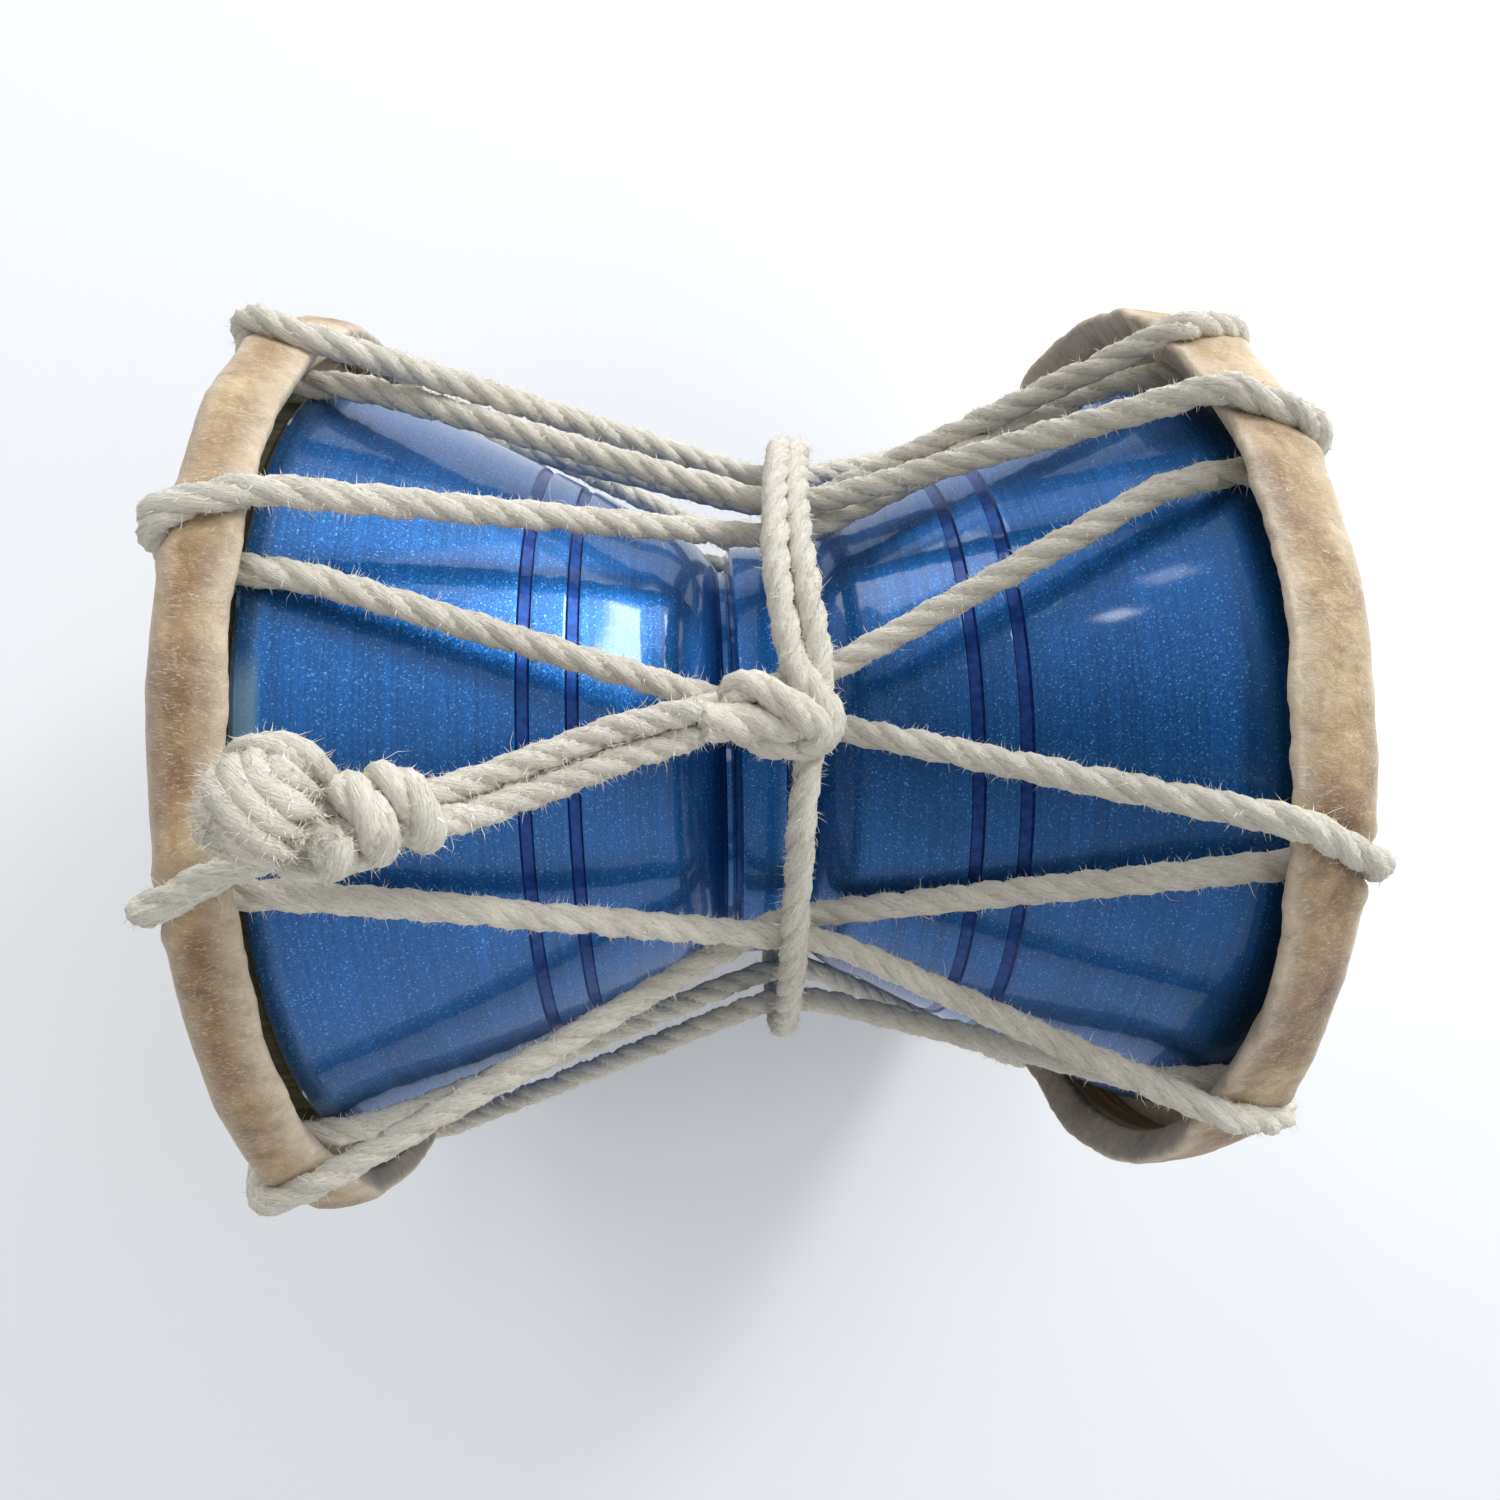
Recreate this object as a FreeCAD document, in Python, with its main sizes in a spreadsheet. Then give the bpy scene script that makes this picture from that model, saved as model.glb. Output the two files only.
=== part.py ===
import FreeCAD, Part
import math
import os
import Sketcher
from FreeCAD import Placement, Rotation, Vector

# A small hourglass drum. Its axis is X, it lies on its side on the loops of its lacing, and Z is up.
# An angle on the drum is measured round its axis from straight up (Z) towards Y.

DIMENSIONS = (
    ("drum_length", 110.0, "between the outer faces of the two skins"),
    ("hide_thickness", 0.8, "goat hide, dried hard"),
    ("rim_bend_radius", 1.7, "outer edge of the lapped hide, where the cord turns over it"),
    ("left_rim_depth", 3.7, "hoop and hide at the left face, from the hoop's inside outwards"),
    ("left_edge_depth", 2.6, "hoop and hide at the left band's inner edge"),
    ("left_band_width", 7.2, "left band along the axis"),
    ("left_fold_tuck", 1.6, "how far the left fold leans back under the band on its way in"),
    ("right_rim_depth", 2.8, "hoop and hide at the right face"),
    ("right_edge_depth", 4.1, "hoop and hide at the right band's inner edge, which flares"),
    ("right_band_width", 9.6, "right band along the axis"),
    ("right_fold_tuck", 2.8, "how far the right fold leans back"),
    ("hoop_edge_bevel", 0.7, "broken edges of the bamboo hoops"),
    ("lip_radius", 49.6, "bare lip of the shell under the hide"),
    ("lip_depth", 5.6, "how far the lip reaches in from the mouth"),
    ("lip_step", 0.3, "height of the painted bowl over the bare lip"),
    ("lip_wall", 3.6, "wood left at the mouth"),
    ("bowl_bulge_radius", 400.0, "slight swell of the bowl along the axis"),
    ("shoulder_radius", 32.6, "where the bowl's cone starts"),
    ("shoulder_distance", 13.4, "from the waist to the start of the cone"),
    ("shoulder_bulge_radius", 15.0, "roundness of the shoulder beside the waist"),
    ("groove_depth", 7.3, "floor of the narrow groove beside the waist bead, below the shoulder"),
    ("groove_distance", 4.3, "from the waist to the far side of the groove floor"),
    ("bead_drop", 3.9, "top of the waist bead, below the shoulder"),
    ("bead_half_width", 2.9, "half of the bead along the axis"),
    ("bead_chamfer", 0.5, "broken edge of the bead"),
    ("bore_radius", 13.5, "bore through the waist"),
    ("bore_distance", 9.0, "from the waist to where the bore opens into the bowl"),
    ("bowl_wall", 7.0, "wood left at the middle of the bowl"),
    ("bowl_wall_distance", 26.0, "where that wall is measured, from the waist"),
    ("scribe_width", 1.4, "scribed line"),
    ("scribe_depth", 0.35, "scribed line"),
    ("left_outer_scribe", 26.0, "from the waist to the line's middle"),
    ("left_inner_scribe", 21.1, "from the waist to the line's middle"),
    ("right_inner_scribe", 22.8, "from the waist to the line's middle"),
    ("right_outer_scribe", 27.4, "from the waist to the line's middle"),
    ("cord_diameter", 3.2, "three-ply cotton cord"),
    ("cord_gap", 0.25, "between a cord and what it lies on"),
    ("lace_hole_clearance", 0.75, "round the cord in its hole, which its pull has stretched"),
    ("lip_to_cord_gap", 0.55, "between the shell's mouth and the lacing in its hole"),
    ("cord_to_hoop_gap", 0.45, "between that lacing and the inside of the hoop"),
    ("edge_bend_radius", 4.5, "lacing bent over the inner edge of the band"),
    ("edge_lift", 0.3, "corner of the lacing over that edge, which its bend takes away again"),
    ("fold_bend_radius", 9.0, "lacing bent below the hide's inner fold"),
    ("fold_reach", 2.2, "lacing runs straight this far past the fold"),
    ("waist_bend_radius", 12.0, "lacing bent at the binding"),
    ("gather_width", 6.4, "length over which the binding holds the lacing down"),
    ("crossing_gap", 0.45, "between the upper and the lower cord where two cross"),
    ("binding_height", 7.5, "middle of the binding cord over the shoulder"),
    ("binding_lift", 1.4, "the binding sits this far off the axis, towards Y"),
    ("binding_place", 4.0, "middle of the gathered lacing, from the waist"),
    ("binding_start", 8.0, "first end of the binding, from the waist"),
    ("binding_gap", 1.3, "between the binding's turns along the axis"),
    ("rest_flat_depth", 0.32, "cord pressed flat where the drum rests on it"),
    ("waist_knot_eye", 0.5, "what the wraps of the waist knot leave open in their middle"),
    ("waist_knot_gap", 0.65, "between the wraps of the waist knot"),
    ("waist_knot_rise", 1.65, "knot's middle over the middle of the binding cord"),
    ("striker_diameter", 5.8, "two cords twisted together"),
    ("core_diameter", 2.0, "the same cords drawn tight inside their knots"),
    ("core_overrun", 0.5, "of the core past the end knot"),
    ("knot_tube_diameter", 3.3, "cord in the striker's first knot"),
    ("knot_slack", 0.55, "between the core and the wraps of the first knot"),
    ("end_knot_tube_diameter", 3.8, "loose yarn in the end knot"),
    ("end_knot_slack", 0.9, "between the core and the wraps of the end knot"),
    ("wrap_gap", 0.7, "between the wraps of both striker knots"),
)

# The ten places on each band where the lacing comes over it, and where it leaves from under it
LEFT_OVER_ANGLES = (51.0, 25.5, -8.5, -48.5, -102.0, -133.0, -162.8, 165.2, 135.0, 105.0)
LEFT_UNDER_ANGLES = (55.5, 20.5, -13.5, -52.5, -104.0, -135.0, -164.4, 163.6, 133.0, 103.0)
RIGHT_OVER_ANGLES = (48.0, 36.0, -7.5, -41.0, -114.0, -138.0, -162.8, 162.8, 137.0, 110.0)
RIGHT_UNDER_ANGLES = (56.0, 31.5, -14.5, -49.0, -116.0, -140.0, -164.4, 161.2, 135.0, 108.0)
REST_LOOP = 6
# Where the cord turns over the rim and where its hole is, on the way from the under to the over angle
CORNER_SHARE = 0.25
HOLE_SHARE = 0.15
# The crossing cords are drawn together by this share of their distance under the binding
GATHER_SHARE = 0.25
BUTT_SHARE = 0.3

BINDING_START_ANGLE = 140.0
BINDING_TURNS = 1.365
KNOT_SEED_ANGLE = 250.0

# Route of the striker cord and the middles of its knots: x, y, and height over the drum's axis
STRIKER_ROUTE = (
    (-7.5, 2.9, 47.3),
    (-13.3, 1.8, 48.5),
    (-20.3, -0.9, 51.4),
    (-26.6, -3.0, 54.4),
    (-29.8, -4.0, 56.0),
)
KNOT_CENTRE = (-33.9, -4.9, 59.8)
END_KNOT_CENTRE = (-41.4, -4.2, 64.4)
WAIST_KNOT_PLACE = (1.6, 3.9)
WAIST_KNOT_TURNS = 1.5
KNOT_TURNS = 1.25
END_KNOT_TURNS = 1.25

# The crossing under which both ends of a lacing cord are tucked
BUTT_STEP = 5
CORD_SIDES = 6
KNOT_SIDES = 8
SAMPLES_PER_DIAMETER = 4
NEAR_DIAMETERS = 4
NUDGE_SHARE = 0.004
HALF_TURN_LIMIT = 0.45
FULL_TURN = 360.0
QUARTER_TURNS = 4


class Bound:
    """A length together with the sheet formula that gives it."""

    def __init__(self, number, formula):
        self.number = number
        self.formula = formula

    def joined(self, sign, other, number):
        other_formula = other.formula if isinstance(other, Bound) else str(other)
        return Bound(number, "(" + self.formula + " " + sign + " " + other_formula + ")")

    def __add__(self, other):
        return self.joined("+", other, self.number + plain(other))

    def __sub__(self, other):
        return self.joined("-", other, self.number - plain(other))

    def __mul__(self, other):
        return self.joined("*", other, self.number * plain(other))

    def __truediv__(self, other):
        return self.joined("/", other, self.number / plain(other))


def plain(value):
    return value.number if isinstance(value, Bound) else value


doc = FreeCAD.newDocument("damaru")
sheet = doc.addObject("Spreadsheet::Sheet", "dimensions")
for row, (alias, number, note) in enumerate(DIMENSIONS, start=1):
    sheet.set("A%d" % row, alias)
    sheet.set("B%d" % row, str(number))
    sheet.set("C%d" % row, note)
    sheet.setAlias("B%d" % row, alias)
doc.recompute()
size = {alias: Bound(float(sheet.get(alias)), "dimensions." + alias) for alias, _, _ in DIMENSIONS}
value = {alias: bound.number for alias, bound in size.items()}

half_length = size["drum_length"] / 2
mouth_distance = half_length - size["hide_thickness"]
cord_radius = size["cord_diameter"] / 2
cord_seat = cord_radius + size["cord_gap"]
lace_hole_radius = size["lip_radius"] + size["lip_to_cord_gap"] + cord_radius
hoop_inner_radius = lace_hole_radius + cord_radius + size["cord_to_hoop_gap"]
left_rim_radius = hoop_inner_radius + size["left_rim_depth"]
binding_radius = plain(size["shoulder_radius"] + size["binding_height"])
rest_angle = LEFT_UNDER_ANGLES[REST_LOOP] + CORNER_SHARE * (
    LEFT_OVER_ANGLES[REST_LOOP] - LEFT_UNDER_ANGLES[REST_LOOP]
)
axis_height = (
    -(left_rim_radius + cord_seat).number * math.cos(math.radians(rest_angle))
    + cord_radius.number
    - value["rest_flat_depth"]
)
AXIS_PLACEMENT = Placement(Vector(0, 0, axis_height), Rotation())
TURNED_PLACEMENT = Placement(Vector(0, 0, axis_height), Rotation(Vector(0, 0, 1), FULL_TURN / 2))
pieces = []


def register(piece, label):
    piece.Label = label
    pieces.append(piece)


def origin_plane(body, role):
    return next(feature for feature in body.Origin.OriginFeatures if feature.Role == role)


def new_sketch(body, name, role):
    sketch = body.newObject("Sketcher::SketchObject", name)
    sketch.AttachmentSupport = [(origin_plane(body, role), "")]
    sketch.MapMode = "FlatFace"
    return sketch


def bind_distance(sketch, kind, geometry, point, distance, axis):
    """Holds a point of the sketch at a bound distance from the origin, or on the axis itself."""
    if plain(distance) == 0:
        sketch.addConstraint(Sketcher.Constraint("PointOnObject", geometry, point, axis))
        return
    if plain(distance) > 0:
        index = sketch.addConstraint(Sketcher.Constraint(kind, -1, 1, geometry, point, plain(distance)))
        formula = distance.formula
    else:
        index = sketch.addConstraint(Sketcher.Constraint(kind, geometry, point, -1, 1, -plain(distance)))
        formula = "-" + distance.formula
    sketch.setExpression("Constraints[%d]" % index, formula)


def arc_between(start, end, radius):
    """A shallow arc between two points that bulges to the left of the way from start to end."""
    chord = end - start
    across = Vector(-chord.y, chord.x, 0).normalize()
    rise = math.sqrt(radius ** 2 - (chord.Length / 2) ** 2)
    centre = (start + end) * 0.5 - across * rise
    first = math.atan2(end.y - centre.y, end.x - centre.x)
    last = math.atan2(start.y - centre.y, start.x - centre.x)
    return Part.ArcOfCircle(Part.Circle(centre, Vector(0, 0, 1), radius), first, last)


def closed_outline(sketch, corners, bulges):
    """Lines from corner to corner; a side named in bulges is an arc of that radius instead."""
    count = len(corners)
    spots = [Vector(plain(across), plain(up), 0) for across, up in corners]
    ends = []
    for side in range(count):
        start, end = spots[side], spots[(side + 1) % count]
        if side in bulges:
            sketch.addGeometry(arc_between(start, end, plain(bulges[side])), False)
            ends.append((2, 1))
        else:
            sketch.addGeometry(Part.LineSegment(start, end), False)
            ends.append((1, 2))
    for side in range(count):
        following = (side + 1) % count
        joint = Sketcher.Constraint("Coincident", side, ends[side][1], following, ends[following][0])
        sketch.addConstraint(joint)
        across, up = corners[side]
        bind_distance(sketch, "DistanceX", side, ends[side][0], across, -2)
        bind_distance(sketch, "DistanceY", side, ends[side][0], up, -1)
        if side in bulges:
            index = sketch.addConstraint(Sketcher.Constraint("Radius", side, plain(bulges[side])))
            sketch.setExpression("Constraints[%d]" % index, bulges[side].formula)


def revolved_body(name, corners, bulges, placement):
    body = doc.addObject("PartDesign::Body", name)
    sketch = new_sketch(body, name + "_outline", "XY_Plane")
    closed_outline(sketch, corners, bulges)
    turned = body.newObject("PartDesign::Revolution", name + "_turned")
    turned.Profile = sketch
    turned.ReferenceAxis = (sketch, ["H_Axis"])
    turned.Angle = FULL_TURN
    body.Placement = placement
    return body, sketch, turned


def make_shell():
    """The turned wooden hourglass: half of it is revolved and mirrored, then the lines are scribed."""
    bead_radius = size["shoulder_radius"] - size["bead_drop"]
    groove_radius = size["shoulder_radius"] - size["groove_depth"]
    painted_end = mouth_distance - size["lip_depth"]
    inner_lip = size["lip_radius"] - size["lip_wall"]
    cone_share = (value["bowl_wall_distance"] - value["shoulder_distance"]) / (
        painted_end.number - value["shoulder_distance"]
    )
    cone_rise = size["lip_radius"] + size["lip_step"] - size["shoulder_radius"]
    inner_bowl = size["shoulder_radius"] + cone_rise * cone_share - size["bowl_wall"]
    corners = (
        (0, size["bore_radius"]),
        (0, bead_radius),
        (size["bead_half_width"] - size["bead_chamfer"], bead_radius),
        (size["bead_half_width"], bead_radius - size["bead_chamfer"]),
        (size["bead_half_width"] + size["bead_chamfer"], groove_radius),
        (size["groove_distance"], groove_radius),
        (size["shoulder_distance"], size["shoulder_radius"]),
        (painted_end, size["lip_radius"] + size["lip_step"]),
        (painted_end, size["lip_radius"]),
        (mouth_distance, size["lip_radius"]),
        (mouth_distance, inner_lip),
        (size["bowl_wall_distance"], inner_bowl),
        (size["bore_distance"], size["bore_radius"]),
    )
    bulges = {5: size["shoulder_bulge_radius"], 6: size["bowl_bulge_radius"]}
    body, sketch, turned = revolved_body("wooden_shell", corners, bulges, AXIS_PLACEMENT)
    doc.recompute()
    mirrored = body.newObject("PartDesign::Mirrored", "wooden_shell_mirrored")
    mirrored.Originals = [turned]
    mirrored.MirrorPlane = (sketch, ["V_Axis"])
    body.Tip = mirrored
    doc.recompute()
    for name, side in (
        ("left_outer_scribe", -1),
        ("left_inner_scribe", -1),
        ("right_inner_scribe", 1),
        ("right_outer_scribe", 1),
    ):
        scribe_line(body, name, side, cone_rise, painted_end)
    register(body, "wooden_shell")


def scribe_line(body, name, side, cone_rise, painted_end):
    """A shallow groove round the bowl, its floor set below the swelled cone at that place."""
    cone_length = painted_end.number - value["shoulder_distance"]
    along_share = (value[name] - value["shoulder_distance"]) / cone_length
    chord = math.hypot(cone_length, cone_rise.number)
    swell = chord ** 2 * along_share * (1 - along_share) / (2 * value["bowl_bulge_radius"])
    surface = size["shoulder_radius"] + cone_rise * along_share + swell
    floor = surface - size["scribe_depth"]
    top = surface + size["scribe_width"]
    near = size[name] - size["scribe_width"] / 2
    far = size[name] + size["scribe_width"] / 2
    if side < 0:
        near, far = far * side, near * side
    before = body.Tip.Shape.Volume
    sketch = new_sketch(body, name + "_outline", "XY_Plane")
    closed_outline(sketch, ((near, floor), (near, top), (far, top), (far, floor)), {})
    groove = body.newObject("PartDesign::Groove", name + "_cut")
    groove.Profile = sketch
    groove.ReferenceAxis = (sketch, ["H_Axis"])
    groove.Angle = FULL_TURN
    doc.recompute()
    print(name, "cuts", round(before - groove.Shape.Volume, 1), "cubic mm")


def head_sizes(side):
    """Outer radius of a band at the face and at its inner edge, and its width."""
    rim = hoop_inner_radius + size[side + "_rim_depth"]
    edge = hoop_inner_radius + size[side + "_edge_depth"]
    return rim, edge, size[side + "_band_width"]


def make_head(side, placement):
    """A skin: its face, the band lapped over the hoop and the fold back inside, with its cord holes."""
    rim, edge, width = head_sizes(side)
    hide = size["hide_thickness"]
    bend = size["rim_bend_radius"]
    band_end = half_length - width
    fold_end = band_end + size[side + "_fold_tuck"]
    corners = (
        (half_length, 0),
        (mouth_distance, 0),
        (mouth_distance, hoop_inner_radius),
        (mouth_distance, rim - hide),
        (band_end + hide, edge - hide),
        (fold_end + hide, hoop_inner_radius),
        (fold_end, hoop_inner_radius),
        (band_end, edge),
        (half_length - bend, rim),
        (half_length, rim - bend),
    )
    name = side + "_head_skin"
    body, sketch, turned = revolved_body(name, corners, {8: bend}, placement)
    doc.recompute()
    holes = new_sketch(body, name + "_holes", "YZ_Plane")
    turn = -1 if side == "left" else 1
    for index, (over_angle, under_angle) in enumerate(over_and_under(side)):
        hole_angle = math.radians(under_angle + (over_angle - under_angle) * HOLE_SHARE)
        across_share = math.sin(hole_angle) * turn
        up_share = math.cos(hole_angle)
        place = Vector(across_share, up_share, 0) * lace_hole_radius.number
        hole_radius = cord_radius + size["lace_hole_clearance"]
        holes.addGeometry(Part.Circle(place, Vector(0, 0, 1), hole_radius.number), False)
        bind_distance(holes, "DistanceX", index, 3, lace_hole_radius * across_share, -2)
        bind_distance(holes, "DistanceY", index, 3, lace_hole_radius * up_share, -1)
        radius = holes.addConstraint(Sketcher.Constraint("Radius", index, hole_radius.number))
        holes.setExpression("Constraints[%d]" % radius, hole_radius.formula)
    pocket = body.newObject("PartDesign::Pocket", name + "_punched")
    pocket.Profile = holes
    pocket.Reversed = True
    pocket.setExpression("Length", (half_length + hide).formula)
    doc.recompute()
    print(name, "holes cut", round(turned.Shape.Volume - pocket.Shape.Volume, 1), "cubic mm")
    register(body, name)


def make_hoop(side, placement):
    """The bamboo hoop inside the lapped hide, with the taper of the band and the lean of the fold."""
    rim, edge, width = head_sizes(side)
    hide = size["hide_thickness"]
    bevel = size["hoop_edge_bevel"]
    inner = hoop_inner_radius
    outer_start = half_length - width + hide
    inner_start = outer_start + size[side + "_fold_tuck"]
    depth = value[side + "_edge_depth"] - value["hide_thickness"]
    lean = size[side + "_fold_tuck"] * (value["hoop_edge_bevel"] / depth)
    taper = (rim - edge) * (value["hoop_edge_bevel"] / (width.number - 2 * value["hide_thickness"]))
    corners = (
        (inner_start - lean, inner + bevel),
        (outer_start + lean, edge - hide - bevel),
        (outer_start + bevel, edge - hide + taper),
        (mouth_distance - bevel, rim - hide - taper),
        (mouth_distance, rim - hide - bevel),
        (mouth_distance, inner + bevel),
        (mouth_distance - bevel, inner),
        (inner_start + bevel, inner),
    )
    body, _, _ = revolved_body(side + "_hoop", corners, {}, placement)
    register(body, side + "_hoop")


def on_drum(along, radius, angle):
    turn = math.radians(angle)
    return Vector(along, radius * math.sin(turn), axis_height + radius * math.cos(turn))


def arc_edge(start, middle, end):
    return Part.Arc(start, middle, end).toShape()


def rounded_route(points, largest_radii, name):
    """Straight runs joined by tangent arcs, each as large as its runs or its named limit allow."""
    edges = []
    radii = []
    position = points[0]
    for before, corner, after, limit in zip(points, points[1:], points[2:], largest_radii):
        arriving = (corner - before).normalize()
        leaving = (after - corner).normalize()
        half_turn = arriving.getAngle(leaving) / 2
        shorter = min((corner - before).Length, (after - corner).Length)
        radius = min(HALF_TURN_LIMIT * shorter / math.tan(half_turn), limit)
        setback = radius * math.tan(half_turn)
        inward = (leaving - arriving).normalize()
        middle = corner + inward * (radius / math.cos(half_turn) - radius)
        first = corner - arriving * setback
        last = corner + leaving * setback
        edges.append(Part.LineSegment(position, first).toShape())
        edges.append(arc_edge(first, middle, last))
        position = last
        radii.append(radius)
    edges.append(Part.LineSegment(position, points[-1]).toShape())
    wire = Part.Wire(edges)
    print(name, "length", round(wire.Length, 1), "radii", [round(radius, 1) for radius in radii])
    return wire


def biarc(start, start_way, end, end_way):
    """Two arcs from start to end that keep both ways and share a tangent where they join."""
    span = end - start
    ways = start_way + end_way
    spread = 2 * (1 - start_way.dot(end_way))
    lean = span.dot(ways)
    reach = (math.sqrt(lean ** 2 + spread * span.dot(span)) - lean) / spread
    joint = (start + start_way * reach + end - end_way * reach) * 0.5
    return [
        arc_edge(start, arc_middle(start, start_way, joint), joint),
        arc_edge(joint, arc_middle(end, end_way * -1, joint), end),
    ]


def arc_middle(start, way, end):
    chord = end - start
    along = Vector(chord).normalize()
    side = way - along * way.dot(along)
    lift = math.tan(way.getAngle(chord) / 2) * chord.Length / 2
    return start + chord * 0.5 + side.normalize() * lift


def winding_wire(place_at, first, last, name):
    """Biarcs of a quarter turn along a winding whose place is a function of its turn."""
    quarters = max(1, round((last - first) * QUARTER_TURNS))
    step = (last - first) / quarters
    nudge = step * NUDGE_SHARE
    stations = [first + step * index for index in range(quarters + 1)]
    edges = []
    for begin, end in zip(stations, stations[1:]):
        begin_way = (place_at(begin + nudge) - place_at(begin - nudge)).normalize()
        end_way = (place_at(end + nudge) - place_at(end - nudge)).normalize()
        edges += biarc(place_at(begin), begin_way, place_at(end), end_way)
    wire = Part.Wire(edges)
    print(name, "length", round(wire.Length, 1), "turns", round(last - first, 2))
    return wire


def tube(wire, diameter, sides, name):
    """A faceted cord along the wire, its flats as far out as a round cord of this diameter."""
    start = wire.Edges[0]
    way = start.tangentAt(start.FirstParameter)
    origin = start.valueAt(start.FirstParameter)
    level = Vector(0, 0, 1) if abs(way.z) < math.cos(math.pi / 4) else Vector(0, 1, 0)
    across = way.cross(level).normalize()
    up = across.cross(way).normalize()
    area = math.pi * diameter ** 2 / 4
    reach = math.sqrt(2 * area / (sides * math.sin(2 * math.pi / sides)))
    corners = []
    for index in range(sides + 1):
        turn = 2 * math.pi * index / sides
        corners.append(origin + across * (reach * math.cos(turn)) + up * (reach * math.sin(turn)))
    profile = Part.makePolygon(corners)
    solid = wire.makePipeShell([profile], True, False)
    print(name, "volume share of section times length", round(solid.Volume / (area * wire.Length), 4))
    return solid


def least_distance(first_points, second_points):
    return min(point.distanceToPoint(other) for point in first_points for other in second_points)


def print_own_gap(wire, diameter, apart, name, ends_meet=False):
    """Prints the least gap of a cord to itself, on points that are further apart than this along it."""
    count = round(wire.Length / diameter * SAMPLES_PER_DIAMETER)
    spots = wire.discretize(Number=count)
    skip = math.ceil(apart / (wire.Length / (count - 1)))
    gap = math.inf
    for index, spot in enumerate(spots[:-skip]):
        last = index + count - skip if ends_meet else count
        gap = min(gap, least_distance([spot], spots[index + skip:last]))
    print(name, "least gap to itself", round(gap - diameter, 2))


def add_solid(name, shape):
    piece = doc.addObject("Part::Feature", name)
    piece.Shape = shape
    piece.Placement = Placement()
    register(piece, name)
    return piece


def over_and_under(side):
    if side == "left":
        return list(zip(LEFT_OVER_ANGLES, LEFT_UNDER_ANGLES))
    return list(zip(RIGHT_OVER_ANGLES, RIGHT_UNDER_ANGLES))


def hoop_stations(side, over_angle, under_angle):
    """Points where the cord comes over the band, turns at the rim, goes through its hole and leaves."""
    rim, edge, width = head_sizes(side)
    sign = -1 if side == "left" else 1
    seat = cord_seat.number
    face = half_length.number + seat
    band_end = half_length.number - width.number
    spread = over_angle - under_angle
    corner_angle = under_angle + spread * CORNER_SHARE
    hole_angle = under_angle + spread * HOLE_SHARE
    bend = value["rim_bend_radius"]
    climb = (rim.number - edge.number) * (seat + bend) / (width.number - bend)
    over = on_drum(sign * band_end, edge.number + seat + value["edge_lift"], over_angle)
    corner = on_drum(sign * face, rim.number + seat + climb, corner_angle)
    hole = on_drum(sign * face, lace_hole_radius.number, hole_angle)
    under = on_drum(sign * (band_end - value["fold_reach"]), lace_hole_radius.number, under_angle)
    return over, corner, hole, under


def binding_reach(angle):
    return binding_radius + value["binding_lift"] * math.sin(math.radians(angle))


def angle_of(point):
    return math.degrees(math.atan2(point.y, point.z - axis_height))


def waist_stations(start, end, partner_start, partner_end):
    """Two points where a strand is held down by the binding, on its way from start to end."""
    middle = value["binding_place"]
    half_width = value["gather_width"] / 2
    across = plan_point(start, end, middle)
    partner = plan_point(partner_start, partner_end, middle)
    # The strand that is further round has crossed under its partner, so it is the lower one
    lead = math.remainder(angle_of(across) - angle_of(partner), FULL_TURN)
    drawn = (partner - across) * (GATHER_SHARE / 2)
    stations = []
    for along in (middle - half_width, middle + half_width):
        angle = angle_of(plan_point(start, end, along) + drawn)
        level = binding_reach(angle) - value["cord_diameter"] - value["cord_gap"]
        if lead < 0:
            level -= value["cord_diameter"] + value["crossing_gap"]
        stations.append(on_drum(along, level, angle))
    return stations if start.x < end.x else stations[::-1]


def plan_point(start, end, along):
    share = (along - start.x) / (end.x - start.x)
    return start + (end - start) * share


def lacing_points(first_pass):
    """All corners of one pass of the lacing, and the largest bend at each of them."""
    sides = ("left", "right")
    tables = {side: over_and_under(side) for side in sides}
    count = len(LEFT_OVER_ANGLES)

    def station(step, offset):
        side = sides[(step + offset) % len(sides)]
        return hoop_stations(side, *tables[side][step % count])

    turn_radius = value["rim_bend_radius"] + cord_seat.number
    points = []
    limits = []
    for step in range(count):
        under = station(step, first_pass)[3]
        over, corner, hole, _ = station(step + 1, first_pass)
        partner_under = station(step, first_pass + 1)[3]
        partner_over = station(step + 1, first_pass + 1)[0]
        points += [under] + waist_stations(under, over, partner_under, partner_over)
        points += [over, corner, hole]
        limits += [value["fold_bend_radius"]] + [value["waist_bend_radius"]] * 2
        limits += [value["edge_bend_radius"], turn_radius, turn_radius]
    return points, limits


def opened_at_waist(points, limits, step):
    """Turns the ring of corners so that its ends butt under the binding at the given crossing."""
    per_step = len(points) // len(LEFT_OVER_ANGLES)
    cut = step * per_step + 1
    turned = points[cut + 1:] + points[:cut + 1]
    turned_limits = limits[cut + 1:] + limits[:cut + 1]
    middle = (points[cut] + points[cut + 1]) * 0.5
    back = (points[cut] - points[cut + 1]).normalize() * (value["cord_diameter"] * BUTT_SHARE)
    return [middle - back / 2] + turned + [middle + back / 2], turned_limits


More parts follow.
